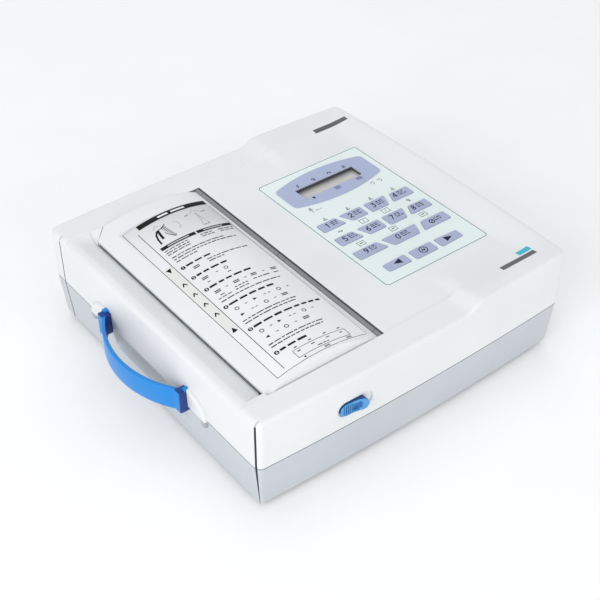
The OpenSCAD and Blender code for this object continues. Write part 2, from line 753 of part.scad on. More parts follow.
module serial_port() {
    color(steel) at_body() difference() {
        union() {
            translate([serial_x, rear_wall_y + 5, port_z]) rotate([90, 0, 0]) d_shell(16.9, 8.4, 16);
            block([serial_x - 15.4, rear_wall_y, port_z - 6.2], [serial_x + 15.4, rear_wall_y + 0.8, port_z + 6.2]);
        }
        for (s = [-1, 1]) rod_y(serial_x + s * 12.5, port_z, 1.6, rear_wall_y - 1, rear_wall_y + 3);
    }
}

module patient_port() {
    color(steel) at_body() difference() {
        union() {
            translate([side_wall_x - 11, patient_y, port_z]) rotate([90, 0, 90]) d_shell(25.2, 8.4, 16);
            block([side_wall_x, patient_y - 19.6, port_z - 6.2], [side_wall_x + 0.8, patient_y + 19.6, port_z + 6.2]);
        }
        for (s = [-1, 1]) translate([side_wall_x - 1, patient_y + s * 16.65, port_z]) rotate([0, 90, 0])
            cylinder(r = 1.6, h = 4, $fn = 48);
    }
}

module jack_standoff() {
    // hexagonal standoff with a tapped hole, its shank pointing down
    difference() {
        union() {
            cylinder(r = 2.7, h = 5, $fn = 6);
            translate([0, 0, -6]) cylinder(r = 1.5, h = 6 + eps, $fn = 48);
        }
        translate([0, 0, 1]) cylinder(r = 1.25, h = 5, $fn = 48);
    }
}

module jack_screws() {
    color(steel) at_body() {
        for (s = [-1, 1]) {
            translate([serial_x + s * 12.5, rear_wall_y + 0.8, port_z]) rotate([-90, 0, 0]) jack_standoff();
            translate([side_wall_x + 0.8, patient_y + s * 16.65, port_z]) rotate([0, 90, 0]) jack_standoff();
        }
    }
}

// Printer ---------------------------------------------------------------------

module printer_frame() {
    // two steel side plates joined by a cross bar under the head
    color(steel) at_body() difference() {
        union() {
            for (y = [frame_y0, frame_y1 - plate_t])
                profile_y(y, y + plate_t) polygon([[-128, floor_top], [-98.5, floor_top], [-98.5, 60], [-102, 66], [-118, 66], [-128, 74]]);
            block([-120, frame_y0 + eps, bar_z - 1.3], [-100, frame_y1 - eps, bar_z]);
            for (y = [frame_y0, frame_y1 - 12]) block([-128, y, floor_top], [-98.5, y + 12, floor_top + plate_t]);
        }
        rod_y(platen_x, pinion_z, 5, frame_y1 - 4, frame_y1 + 2);
        rod_y(platen_x, idler_z, 2.5, frame_y1 - 4, frame_y1 + 2);
    }
}

module paper_tray() {
    // open trough that holds the roll, with a slot at each end for its journals
    y0 = print_y - platen_end - 4;
    y1 = print_y + platen_end + 3;
    color("#8d9297") at_body() difference() {
        union() {
            difference() {
                block([-96, y0, floor_top], [-27, y1, 76]);
                block([-94, y0 + 2.5, floor_top + 2], [-29, y1 - 2.5, 80]);
            }
        }
        block([-100, y0 - 1, 58], [-90, y1 + 1, 80]);
        for (y = [y0 - 1, y1 - 3.5]) {
            rod_y(tray_x, tray_z, journal_r + 0.1, y, y + 4.5);
            block([tray_x - journal_r - 0.1, y, tray_z], [tray_x + journal_r + 0.1, y + 4.5, 80]);
        }
    }
}

module paper_roll() {
    color("#f7f7f4") at_body() difference() {
        rod_y(tray_x, tray_z, paper_r, print_y - paper_w / 2, print_y + paper_w / 2, 96);
        rod_y(tray_x, tray_z, 8, print_y - paper_w, print_y + paper_w);
    }
}

module paper_core() {
    // cardboard tube on a plastic spindle with a journal at each end
    color("#c9b79a") at_body() union() {
        rod_y(tray_x, tray_z, 8, print_y - paper_w / 2 - 0.4, print_y + paper_w / 2 + 0.4);
        rod_y(tray_x, tray_z, journal_r, print_y - platen_end - 3.6, print_y + platen_end + 2.6);
    }
}

module thermal_head() {
    color("#d8d2c0") at_body() {
        block([-120, print_y - platen_end - 1, 58.5], [-102, print_y + platen_end + 1, 62.6]);
        // ceramic substrate with the heater line under the platen
        block([-116, print_y - platen_end, 62.6], [-104, print_y + platen_end, 63.6]);
    }
}

module heat_sink() {
    color("#a8adb3") at_body() difference() {
        block([-119, print_y - platen_end - 1, sink_z], [-101, print_y + platen_end + 1, 58.5]);
        for (i = [0:3]) block([-117.2 + i * 4.4, print_y - platen_end - 2, 49], [-115.0 + i * 4.4, print_y + platen_end - 16, 56]);
    }
}

module head_springs() {
    // stacked coils that press the head up against the platen
    color(steel) at_body() for (y = [-80, -28, 24, 70])
        for (i = [0:3]) translate([-110, y, bar_z + 0.65 + i * (sink_z - bar_z - 1.3) / 3]) rotate_extrude($fn = 32)
            translate([3, 0]) circle(r = 0.65, $fn = 16);
}

module tear_bar() {
    color(steel) at_body()
        block([-124.6, print_y - platen_end - 1, lip_z - 5.2], [-123.4, print_y + platen_end + 1, lip_z]);
}

module stepper_motor() {
    color("#6e7378") at_body() difference() {
        union() {
            rod_y(platen_x, pinion_z, 11, frame_y1 - plate_t - 22, frame_y1 - plate_t);
            rod_y(platen_x, pinion_z, 4.6, frame_y1 - plate_t - eps, frame_y1 + 0.4);
        }
        rod_y(platen_x, pinion_z, motor_shaft_r + run_gap, frame_y1 - 14, frame_y1 + 1);
    }
}

module motor_pinion() {
    color("#d8c27a") at_body() {
        gear(platen_x, pinion_z, pinion_teeth, motor_shaft_r - eps, 90 + 180 / pinion_teeth);
        rod_y(platen_x, pinion_z, motor_shaft_r, frame_y1 - 13.5, gear_y + gear_t / 2);
    }
}

module idler_axle() {
    color(steel) at_body() {
        rod_y(platen_x, idler_z, 2.5, frame_y1 - plate_t, gear_y + gear_t / 2 + 1);
        rod_y(platen_x, idler_z, 3.6, gear_y + gear_t / 2 + 0.2, gear_y + gear_t / 2 + 1.2);
    }
}

module idler_gear() {
    color("#e8e8e4") at_body() gear(platen_x, idler_z, idler_teeth, idler_bore, 90);
}

module platen_roller() {
    color("#2b2d30") at_body() difference() {
        rod_y(platen_x, platen_z, platen_r, print_y - platen_end, print_y + platen_end, 96);
        rod_y(platen_x, platen_z, shaft_r, print_y - platen_end - 1, print_y + platen_end + 1);
    }
}

module platen_shaft() {
    color(steel) at_body()
        rod_y(platen_x, platen_z, shaft_r, print_y - platen_end - 4.2, gear_y + gear_t / 2);
}

module platen_gear() {
    color("#e8e8e4") at_body() gear(platen_x, platen_z, platen_teeth, shaft_r, 90 + 180 / platen_teeth);
}

// Paper door ------------------------------------------------------------------

hinge_case_y = [-116, -2, 111];
hinge_door_y = [[-111.6, -6.4], [2.4, 106.6]];

// Side view of the door, front to back, set in by d: sloped front end and back end
module door_side(d) {
    profile_x(door_x0 + d, door_x1 - d)
        polygon([[door_y0 + d, 60], [door_y0 + d, 86.4 - d * 0.6], [door_y0 + 6 + d * 0.7, 96 - d],
            [door_y1 - 3 - d * 0.7, 96 - d], [door_y1 - d, 88 - d * 0.6], [door_y1 - d, 60]]);
}

module door_arch(d) {
    translate([0, 130, 0]) rotate([90, 0, 0]) linear_extrude(260) intersection() {
        translate([door_cx, door_cz]) circle(r = door_r - d, $fn = 360);
        translate([door_x0 - 5, 40]) square([door_x1 - door_x0 + 10, 60]);
    }
}

module paper_door() {
    color(white) at_body() difference() {
        union() {
            difference() {
                intersection() {
                    door_side(0);
                    door_arch(0);
                    block([-200, -200, door_skirt_z], [0, 200, 100]);
                }
                intersection() {
                    door_side(door_t);
                    door_arch(door_t);
                }
                // cut-off back left corner
                linear_extrude(200) polygon([[-126, 103.5], [-124, 103.5], [-117.5, 109.5], [-112, 115], [-112, 118], [-126, 118]]);
            }
            intersection() {
                difference() {
                    door_arch(0);
                    linear_extrude(200) polygon([[-128, 103.5], [-124, 103.5], [-117.5, 109.5], [-112, 115], [-112, 118], [-128, 118]]);
                }
                block([door_x0, 98, door_skirt_z], [-108, door_y1, 100]);
                linear_extrude(200) polygon([[-124, 101], [-115.5, 108.3], [-109.5, 114.2], [-112, 120], [-130, 120], [-130, 101]]);
            }
            // tab under the front end, beside the release slide
            block([-60, door_y0 + door_t - 0.2, 66], [-52, door_y0 + door_t + 1.8, 86]);
            // barrels of the hinge, carried on webs from the door's edge
            for (y = hinge_door_y) {
                rod_y(hinge_x, hinge_z, knuckle_r, y[0], y[1]);
                block([door_x1 - 1, y[0], door_skirt_z], [hinge_x, y[1], hinge_z + 0.4]);
            }
        }
        rod_y(hinge_x, hinge_z, hinge_pin_r + run_gap, -130, 130);
    }
}

module door_label() {
    // thin printed sheet on the arch
    t = 0.25;
    color("#f4f5f6") at_body() intersection() {
        difference() {
            door_arch(-t);
            door_arch(0);
        }
        block([-111, -113.4, 80], [-28.5, 95, 96]);
    }
}

module hinge_pin() {
    color(steel) at_body() rod_y(hinge_x, hinge_z, hinge_pin_r, -119.8, 114.5);
}

bracket_x = [-115, -104];

module platen_bracket() {
    // two ears under the door that carry the platen shaft, and the tab that the release slide lifts
    color("#4a4e52") at_body() difference() {
        union() {
            for (y = [print_y - platen_end - 4, print_y + platen_end + 1]) {
                block([bracket_x[0], y, platen_z], [bracket_x[1], y + 1.9, 86.6]);
                rod_y(platen_x, platen_z, 5.5, y, y + 1.9);
            }
            block([bracket_x[0] + 1, print_y - platen_end - 3, 83.4], [bracket_x[1], print_y + platen_end + 2, 85.4]);
        }
        rod_y(platen_x, platen_z, shaft_r + run_gap, -130, 130);
    }
}

// Door release slide ----------------------------------------------------------

module latch_slider() {
    // thumb piece, flush at its left end and proud at its right end, with a stem inside
    r = latch_h / 2;
    y_back = front_face_y + 1.2;
    color(blue) at_body() union() {
        intersection() {
            union() {
                rod_y(latch_x0 + r, latch_z, r, -half_d - 8, y_back, 64);
                rod_y(latch_x0 + latch_len - r, latch_z, r, -half_d - 8, y_back, 64);
                block([latch_x0 + r, -half_d - 8, latch_z - r], [latch_x0 + latch_len - r, y_back, latch_z + r]);
            }
            linear_extrude(200) polygon([
                [latch_x0 - 1, y_back + 1], [latch_x0 - 1, front_face_y - 0.4], [latch_x0 + 9, front_face_y - 0.8],
                [latch_x0 + 12, front_face_y - 0.6], [latch_x0 + 17, front_face_y - 1.4], [latch_x0 + 21, front_face_y - 3.2],
                [latch_x0 + 23.4, front_face_y - latch_proud], [latch_x0 + latch_len + 1, front_face_y - latch_proud],
                [latch_x0 + latch_len + 1, y_back + 1]]);
        }
        block([latch_x0 + 6, y_back - 0.4, latch_z - 2.2], [latch_x0 + 14, -half_d + 8, latch_z + 2.2]);
        block([latch_x0 - 2, -half_d + 5, latch_z - 5], [latch_x0 + 22, -half_d + 8, latch_z + 5]);
        // arm that reaches in towards the tab of the door
        block([latch_x0 + 6, -half_d + 7, latch_z + 1], [latch_x0 + 14, -121, latch_z + 4.5]);
    }
}

base_shell();
upper_shell();
carry_handle();
handle_screws();
rubber_feet();
case_screws();
keypad_overlay();
display_bezel();
display_window();
lcd_module();
keypad_board();
dome_mat();
main_board();
power_supply();
battery_pack();
battery_cover();
printer_frame();
paper_tray();
thermal_head();
heat_sink();
head_springs();
tear_bar();
stepper_motor();
idler_axle();
hinge_pin();
power_inlet();
rocker_housing();
ground_stud();
serial_port();
patient_port();
jack_screws();
speaker();
paper_door();
door_label();
platen_bracket();
platen_roller();
platen_shaft();
platen_gear();
idler_gear();
motor_pinion();
paper_roll();
paper_core();
latch_slider();
power_rocker();
key_1();
key_2();
key_3();
key_4();
key_5();
key_6();
key_7();
key_8();
key_9();
key_0();
key_function();
key_left();
key_record();
key_right();
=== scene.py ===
import json
import random
from math import asin, ceil, copysign, cos, degrees, exp, hypot, pi, radians, sin, sqrt

import bmesh
import bpy
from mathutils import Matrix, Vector


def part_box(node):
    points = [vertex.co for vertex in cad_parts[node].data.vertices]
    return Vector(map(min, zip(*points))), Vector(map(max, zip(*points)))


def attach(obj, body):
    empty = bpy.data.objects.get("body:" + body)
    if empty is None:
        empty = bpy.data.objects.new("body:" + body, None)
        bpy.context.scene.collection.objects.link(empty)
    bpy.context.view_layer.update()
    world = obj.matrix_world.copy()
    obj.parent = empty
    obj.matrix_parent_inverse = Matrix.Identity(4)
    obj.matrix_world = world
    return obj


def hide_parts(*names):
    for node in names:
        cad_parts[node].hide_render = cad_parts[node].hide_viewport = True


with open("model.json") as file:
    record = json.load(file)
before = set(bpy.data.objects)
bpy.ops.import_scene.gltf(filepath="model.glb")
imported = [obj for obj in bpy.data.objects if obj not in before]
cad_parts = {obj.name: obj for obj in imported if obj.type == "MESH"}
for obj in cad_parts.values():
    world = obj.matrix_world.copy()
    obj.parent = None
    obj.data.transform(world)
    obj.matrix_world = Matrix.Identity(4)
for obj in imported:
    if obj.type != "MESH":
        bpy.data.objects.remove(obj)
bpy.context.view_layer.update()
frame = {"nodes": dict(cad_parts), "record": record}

# Places below are in millimetres about the centre of the case's plan; P moves them into the row frame.
MM = 0.001
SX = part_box("carry_handle")[0].x * 1000 + 172
SY = (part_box("rubber_feet")[0].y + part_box("rubber_feet")[1].y) * 500 + 1


def P(x, y, z):
    return Vector(((x + SX) * MM, (y + SY) * MM, z * MM))


# Camera, floor and light -----------------------------------------------------


def add(name, data):
    ob = bpy.data.objects.new(name, data)
    bpy.context.scene.collection.objects.link(ob)
    return ob


yaw, pitch = 0.908263, 0.688812
forward = Vector((cos(yaw) * cos(pitch), sin(yaw) * cos(pitch), -sin(pitch)))
cam_data = bpy.data.cameras.new("camera")
cam = add("camera", cam_data)
cam.location = P(-465.52, -592.30, 649.97)
cam.rotation_mode = "QUATERNION"
cam.rotation_quaternion = forward.to_track_quat("-Z", "Y")
cam_data.sensor_width = 36
cam_data.lens = 71.93
cam_data.clip_start, cam_data.clip_end = 0.02, 20
bpy.context.scene.camera = cam


def area(name, loc, target, size, power):
    d = bpy.data.lights.new(name, "AREA")
    d.shape = "RECTANGLE"
    d.size, d.size_y = size
    d.energy = power
    ob = add(name, d)
    ob.location = loc
    ob.rotation_mode = "QUATERNION"
    ob.rotation_quaternion = (Vector(target) - Vector(loc)).to_track_quat("-Z", "Y")


area("key_light", (-1.9, -0.7, 1.1), (0, 0, 0.05), (1.5, 1.2), 20)
area("top_light", (0.1, 0.3, 2.1), (0, 0, 0), (2.0, 2.0), 7)
area("front_light", (0.2, -2.2, 0.9), (0, 0, 0.05), (1.8, 1.1), 10)
area("back_light", (0.9, 2.2, 1.2), (0, 0, 0.05), (1.8, 1.2), 5)
world = bpy.data.worlds.new("studio")
bpy.context.scene.world = world
world.use_nodes = True
world.node_tree.nodes["Background"].inputs["Color"].default_value = (0.96, 0.98, 1.0, 1)
world.node_tree.nodes["Background"].inputs["Strength"].default_value = 0.64
bpy.context.scene.view_settings.view_transform = "Standard"

# Materials -------------------------------------------------------------------


def srgb(c):
    return tuple((v / 255 / 12.92) if v <= 10 else ((v / 255 + 0.055) / 1.055) ** 2.4 for v in c) + (1.0,)


def ramp(nt, source, stops):
    r = nt.nodes.new("ShaderNodeValToRGB")
    while len(r.color_ramp.elements) < len(stops):
        r.color_ramp.elements.new(0.5)
    for e, (at, col) in zip(r.color_ramp.elements, stops):
        e.position = at
        e.color = col
    nt.links.new(source, r.inputs[0])
    return r.outputs[0]


def noise(nt, scale, detail=4.0, stretch=(1, 1, 1)):
    tc = nt.nodes.new("ShaderNodeTexCoord")
    mp = nt.nodes.new("ShaderNodeMapping")
    mp.inputs["Scale"].default_value = stretch
    n = nt.nodes.new("ShaderNodeTexNoise")
    n.inputs["Scale"].default_value = scale
    n.inputs["Detail"].default_value = detail
    nt.links.new(tc.outputs["Object"], mp.inputs[0])
    nt.links.new(mp.outputs[0], n.inputs["Vector"])
    return n.outputs["Fac"]


def material(name, rgb, rough=0.45, grain=900.0, bump=0.04, metal=0.0, vary=0.03, rough_vary=0.08,
             stretch=(1, 1, 1), spec=0.5, coat=0.0):
    """Moulded or finished surface: tone and gloss drift slowly, and a fine grain breaks up the light."""
    m = bpy.data.materials.new(name)
    m.use_nodes = True
    nt = m.node_tree
    b = nt.nodes["Principled BSDF"]
    base = srgb(rgb)
    lo = tuple(max(0, v * (1 - vary)) for v in base[:3]) + (1,)
    hi = tuple(min(1, v * (1 + vary * 0.6)) for v in base[:3]) + (1,)
    slow = noise(nt, 14.0, 3.0)
    nt.links.new(ramp(nt, slow, [(0.3, lo), (0.7, hi)]), b.inputs["Base Color"])
    fine = noise(nt, grain, 2.0, stretch)
    rr = nt.nodes.new("ShaderNodeMapRange")
    rr.inputs["To Min"].default_value = max(0.02, rough - rough_vary)
    rr.inputs["To Max"].default_value = min(1.0, rough + rough_vary)
    nt.links.new(fine, rr.inputs["Value"])
    nt.links.new(rr.outputs[0], b.inputs["Roughness"])
    bp = nt.nodes.new("ShaderNodeBump")
    bp.inputs["Strength"].default_value = bump
    bp.inputs["Distance"].default_value = 0.0002
    nt.links.new(fine, bp.inputs["Height"])
    nt.links.new(bp.outputs[0], b.inputs["Normal"])
    b.inputs["Metallic"].default_value = metal
    b.inputs["Specular IOR Level"].default_value = spec
    b.inputs["Coat Weight"].default_value = coat
    return m


WHITE = material("shell_white_satin", (230, 232, 233), 0.42, 1400, 0.10)
# painted shade: the base grey darkened for the shaded fairing tip below the seam
TIP = material("fairing_tip_painted_shade", (170, 174, 178), 0.46, 1400, 0.12)
GREY = material("shell_grey_satin", (196, 201, 206), 0.46, 1400, 0.12)
DOOR_WHITE = material("door_white_satin", (231, 233, 234), 0.38, 1400, 0.08)
BLUE = material("strap_blue", (2, 132, 214), 0.36, 1200, 0.10)
# painted shade: a darker copy of the strap blue for the inner and end faces, which fall in shade
BLUE_SHADE = material("strap_blue_painted_shade", (0, 54, 130), 0.40, 1200, 0.10)
LATCH = material("slide_blue", (76, 152, 212), 0.26, 1200, 0.05)
# painted shade: darker copy of the slide blue for the deep rib grooves and the scoop
LATCH_GROOVE_SHADE = material("slide_blue_painted_groove_shade", (40, 112, 176), 0.30, 1200, 0.05)
# painted shade: dark copy of the slide blue for its side walls, as the shadow round the slide
LATCH_SIDE_SHADE = material("slide_blue_painted_side_shade", (20, 74, 132), 0.34, 1200, 0.05)
FILM = material("panel_film_mint", (228, 238, 238), 0.34, 2400, 0.05, coat=0.1)
LABEL = material("label_film", (233, 235, 235), 0.32, 2000, 0.03, coat=0.12)
KEYS = material("key_lavender", (166, 175, 204), 0.42, 2200, 0.10)
BEZEL = material("bezel_lavender", (168, 178, 209), 0.36, 2200, 0.06)
# painted shade: dark grey put on the groove faces, the seam and the compartment walls, where shade falls
SHADE_GREY = material("painted_shade_grey", (104, 107, 112), 0.6, 1300, 0.1, vary=0.08)
HINGE = material("hinge_grey", (132, 134, 138), 0.5, 1300, 0.10, vary=0.1)
# painted shade: dark grey on the walls of the display recess, standing for the shade in it
WELL_SHADE = material("display_well_painted_shade", (82, 84, 92), 0.55, 1300, 0.1)
NAMEPLATE = material("nameplate_dark", (88, 90, 94), 0.4, 2400, 0.03)
CYAN = material("badge_cyan", (44, 176, 205), 0.35, 2400, 0.03)
INK = material("ink_black", (10, 11, 13), 0.5, 3000, 0.02, vary=0.15, spec=0.15)
INK_BLUE = material("ink_navy", (16, 20, 44), 0.5, 3000, 0.02, vary=0.15, spec=0.2)
INK_MID = material("ink_mid_grey", (48, 50, 54), 0.5, 3000, 0.02, vary=0.15, spec=0.2)
INK_GREY = material("ink_grey", (140, 146, 156), 0.5, 3000, 0.02, vary=0.1)
INK_GREEN = material("ink_dark_green", (56, 92, 86), 0.5, 3000, 0.02, vary=0.1)
INK_PATCH = material("ink_blue_grey", (126, 134, 168), 0.5, 3000, 0.02, vary=0.1)
STRIP = material("ink_beige_grey", (226, 228, 224), 0.42, 2600, 0.03, vary=0.04)
STEEL = material("steel_plated", (186, 189, 194), 0.30, 700, 0.12, metal=1.0, stretch=(1, 8, 1), rough_vary=0.12)
ALU = material("aluminium_extruded", (176, 180, 186), 0.38, 600, 0.2, metal=1.0, stretch=(1, 0.1, 1),
               rough_vary=0.12)
BRASS = material("brass_turned", (198, 164, 84), 0.30, 900, 0.12, metal=1.0)
RUBBER = material("rubber_matt", (36, 37, 40), 0.78, 1500, 0.35, vary=0.15)
BLACK = material("black_plastic", (38, 40, 43), 0.45, 1300, 0.15, vary=0.12)
MID = material("grey_plastic", (124, 129, 136), 0.50, 1300, 0.12)
ACETAL = material("acetal_white", (226, 226, 220), 0.40, 1300, 0.05)
PCB = material("board_green", (36, 98, 62), 0.35, 300, 0.15, vary=0.25, coat=0.2)
CERAMIC = material("ceramic_cream", (216, 210, 192), 0.32, 1500, 0.05)
SLEEVE = material("sleeve_blue", (58, 104, 172), 0.28, 500, 0.06, coat=0.2)
SILICONE = material("silicone_sheet", (224, 220, 208), 0.6, 1200, 0.1)
PAPER = material("thermal_paper", (246, 246, 243), 0.62, 260, 0.25, vary=0.03, stretch=(0.3, 30, 0.3))
CARD = material("wound_card", (186, 164, 130), 0.75, 500, 0.4, vary=0.12)


def lcd_material():
    """Reflective display: pale grey glass, with a painted shadow of the recess that darkens it towards the top edge
    of the window.
    """
    m = bpy.data.materials.new("display_glass_painted_shadow")
    m.use_nodes = True
    nt = m.node_tree
    b = nt.nodes["Principled BSDF"]
    tc = nt.nodes.new("ShaderNodeTexCoord")
    sep = nt.nodes.new("ShaderNodeSeparateXYZ")
    nt.links.new(tc.outputs["Object"], sep.inputs[0])
    mr = nt.nodes.new("ShaderNodeMapRange")
    mr.inputs["From Min"].default_value = P(0, WINDOW[1], 0).y
    mr.inputs["From Max"].default_value = P(0, WINDOW[3], 0).y
    nt.links.new(sep.outputs[1], mr.inputs["Value"])
    # painted shadow: the ramp darkens the glass towards the top edge, where the recess casts shade
    col = ramp(nt, mr.outputs[0], [(0.0, srgb((216, 212, 208))), (0.5, srgb((196, 193, 190))),
                                   (0.82, srgb((150, 149, 148))), (1.0, srgb((92, 92, 94)))])
    mix = nt.nodes.new("ShaderNodeMix")
    mix.data_type = "RGBA"
    mix.blend_type = "MULTIPLY"
    mix.inputs["Factor"].default_value = 0.25
    nt.links.new(col, mix.inputs["A"])
    nt.links.new(ramp(nt, noise(nt, 60.0), [(0.35, (0.75, 0.75, 0.75, 1)), (0.65, (1, 1, 1, 1))]), mix.inputs["B"])
    nt.links.new(mix.outputs["Result"], b.inputs["Base Color"])
    b.inputs["Roughness"].default_value = 0.16
    return m


WINDOW = (38, 45.5, 99, 60.5)
LCD = lcd_material()

fm = bpy.data.meshes.new("floor")
fm.from_pydata([(-6, -6, 0), (6, -6, 0), (6, 6, 0), (-6, 6, 0)], [], [(0, 1, 2, 3)])
fm.materials.append(material("floor_white", (254, 254, 254), 0.8, 30, 0.02, vary=0.01))
add("floor", fm)

# Mesh helpers ----------------------------------------------------------------


def piece(name, verts, faces, mat, body="case", stands_for=(), slot=None, sharp=35, mats=None, face_mats=None):
    me = bpy.data.meshes.new(name)
    me.from_pydata([P(*v) for v in verts], [], faces)
    me.validate()
    for m in mats or [mat]:
        me.materials.append(m)
    if face_mats is not None and len(face_mats) == len(me.polygons):
        me.polygons.foreach_set("material_index", face_mats)
    me.shade_smooth()
    me.set_sharp_from_angle(angle=radians(sharp))
    ob = add(name, me)
    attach(ob, body)
    if stands_for:
        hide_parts(*stands_for)
    return ob


def plate(name, outlines, z0, z1, r, mat, body="case", **kw):
    """Flat plate between two heights with rounded rims. The outlines are its edge and its holes."""
    cu = bpy.data.curves.new(name + "_c", "CURVE")
    cu.dimensions = "2D"
    cu.fill_mode = "BOTH"
    cu.extrude = (z1 - z0) / 2 - r
    cu.bevel_depth = r
    cu.bevel_resolution = 2
    cu.offset = -r
    for pts in outlines:
        s = cu.splines.new("POLY")
        s.points.add(len(pts) - 1)
        for q, (x, y) in zip(s.points, pts):
            q.co = (x, y, 0, 1)
        s.use_cyclic_u = True
    ob = bpy.data.objects.new(name + "_c", cu)
    bpy.context.scene.collection.objects.link(ob)
    bpy.context.view_layer.update()
    me = bpy.data.meshes.new_from_object(ob.evaluated_get(bpy.context.evaluated_depsgraph_get()))
    bpy.data.objects.remove(ob)
    bpy.data.curves.remove(cu)
    vs = [tuple(v.co) for v in me.vertices]
    fs = [tuple(f.vertices) for f in me.polygons]
    bpy.data.meshes.remove(me)
    zc = (z0 + z1) / 2
    return piece(name, [(x, y, z + zc) for x, y, z in vs], fs, mat, body, **kw)


def merge(*parts):
    verts, faces = [], []
    for v, f in parts:
        n = len(verts)
        verts += list(v)
        faces += [tuple(i + n for i in q) for q in f]
    return verts, faces


def polar(cx, cy, r, angle):
    a = radians(angle)
    return cx + r * cos(a), cy + r * sin(a)


def arc(cx, cy, r, start, end, n):
    """Points of an arc between two angles in degrees, both ends included."""
    return [polar(cx, cy, r, start + (end - start) * i / n) for i in range(n + 1)]


def circle(cx, cy, r, n):
    return [polar(cx, cy, r, 360 * i / n) for i in range(n)]


def rect(x0, y0, x1, y1):
    return [(x0, y0), (x1, y0), (x1, y1), (x0, y1)]


def band(a, b, closed=True):
    """Faces between two rows of vertex numbers."""
    n = len(a)
    return [(a[k], a[(k + 1) % n], b[(k + 1) % n], b[k]) for k in range(n if closed else n - 1)]


def bands(count, n):
    """Faces between closed rings of n vertices that follow one another."""
    rings = [range(k * n, (k + 1) * n) for k in range(count)]
    return [f for a, b in zip(rings, rings[1:]) for f in band(a, b)]


def grid(nu, nv):
    """Faces of a grid of vertices stored column by column."""
    return [(i * nv + j, (i + 1) * nv + j, (i + 1) * nv + j + 1, i * nv + j + 1)
            for i in range(nu - 1) for j in range(nv - 1)]


def around(iu, jv):
    """Border of a block of grid points, in order."""
    return ([(i, jv[0]) for i in iu] + [(iu[-1], j) for j in jv[1:]]
            + [(i, jv[-1]) for i in reversed(iu[:-1])] + [(iu[0], j) for j in reversed(jv[1:-1])])


def box_mesh(a, b):
    (x0, y0, z0), (x1, y1, z1) = a, b
    v = [(x0, y0, z0), (x1, y0, z0), (x1, y1, z0), (x0, y1, z0), (x0, y0, z1), (x1, y0, z1), (x1, y1, z1),
         (x0, y1, z1)]
    return v, [(0, 3, 2, 1), (4, 5, 6, 7), (0, 1, 5, 4), (1, 2, 6, 5), (2, 3, 7, 6), (3, 0, 4, 7)]


def spaced(knots, step):
    out = []
    for a, b in zip(knots, knots[1:]):
        n = max(1, ceil((b - a) / step - 1e-6))
        out += [a + (b - a) * i / n for i in range(n)]
    return out + [knots[-1]]


def ease(t):
    t = min(1.0, max(0.0, t))
    return t * t * (3 - 2 * t)


# Case form -------------------------------------------------------------------

HW, HD = 148.0, 143.5
SEAM = 44.0
LOW, HIGH, DECK = 88.2, 94.5, 87.6
R_LEFT, R_EDGE = 4.0, 2.4


def bow(x):
    return -4.0 * (x / HW) ** 2


def side(y):
    return 2.499 - 3.499 * (y / HD) ** 2


def plan(u, v):
    """Rounds the corners of the nominal rectangle and bows its sides."""
    a, r0 = 8.0, 5.5
    x, y = u, v
    du, dv = HW - abs(u), HD - abs(v)
    if du < a and dv < a:
        p, q = (a - du) / a, (a - dv) / a
        s = max(p, q)
        if s > 1e-9:
            tau = 0.5 * q / p if q <= p else 1 - 0.5 * p / q
            rho, flat = r0 * s, (a - r0) * s
            turn = rho * pi / 2
            t = tau * (2 * flat + turn)
            if t < flat:
                cx, cy = a * s, t
            elif t < flat + turn:
                w = (t - flat) / rho
                cx, cy = flat + rho * cos(w), flat + rho * sin(w)
            else:
                cx, cy = flat - (t - flat - turn), a * s
            x = copysign(HW - a + cx, u)
            y = copysign(HD - a + cy, v)
    y += copysign(1, v) * bow(x) * ease((abs(v) - 121) / 12)
    x += side(y) * ease((u - 128) / 10)
    return x, y


def fillet(d, r):
    return 0.0 if d >= r else r - sqrt(max(0.0, r * r - (r - max(d, 0.0)) ** 2))


def top(x, y):
    """Height of the top: low rails and deck on the left, dished deck and high rails on the right."""
    rise = ease((x - 40) / 16)
    rail = LOW + (HIGH - LOW) * rise
    right = ease((x - 121) / 25)
    f = DECK + (HIGH - DECK) * right
    t = max((-90 - y) / 44, (y - 88) / 40)
    t = min(1.0, max(0.0, t))
    t = t * t * (3 - 2 * t) * 0.35 + t * 0.65
    z = f + (rail - f) * t
    border = 1.0 if (y < -120 or y > 117) else ease((-119.2 - y) / 0.8) if y < 0 else ease((y - 116.2) / 0.8)
    flat = DECK + (rail - DECK) * border
    z = flat + (z - flat) * ease((x - 44) / 14) if x < 58 else z
    return z


# opening of the paper compartment as left, right, front and back, and the paper exit beside it
OPEN = (-124.6, -20.8, -120.5, 114.6)
ROUND = 0.35
EXIT_Y = (-116.5, 117.5)
LIP, LIP_DROP = 81.6, 1.9
PANEL = (17, -80, 120, 80)
NOTCH = [(-124.6, 104.1), (-118.1, 110.1), (-113.2, 114.6)]
EXIT_SIDE = [(-141.0, 0.0), (-139.0, 0.55), (-136.0, 1.9), (-130.0, 4.7), (-124.6, LOW - LIP)]


def trough(x, y):
    """Drop of the paper exit below the rail. At the back it climbs out along the door's cut-off corner."""
    if x <= EXIT_SIDE[0][0] or not EXIT_Y[0] < y < EXIT_Y[1]:
        return 0.0
    if x <= EXIT_SIDE[-1][0]:
        for (a, da), (b, db) in zip(EXIT_SIDE, EXIT_SIDE[1:]):
            if x <= b:
                depth = da + (db - da) * (x - a) / (b - a)
                break
    else:
        depth = (LOW - LIP) * (1 - ease((x + 124.6) / 13.5))
        if y < 100:
            return 0.0
    return depth * ease((y - EXIT_Y[0]) / 0.9) * (1 - ease((y - 103.5) / 13.5))


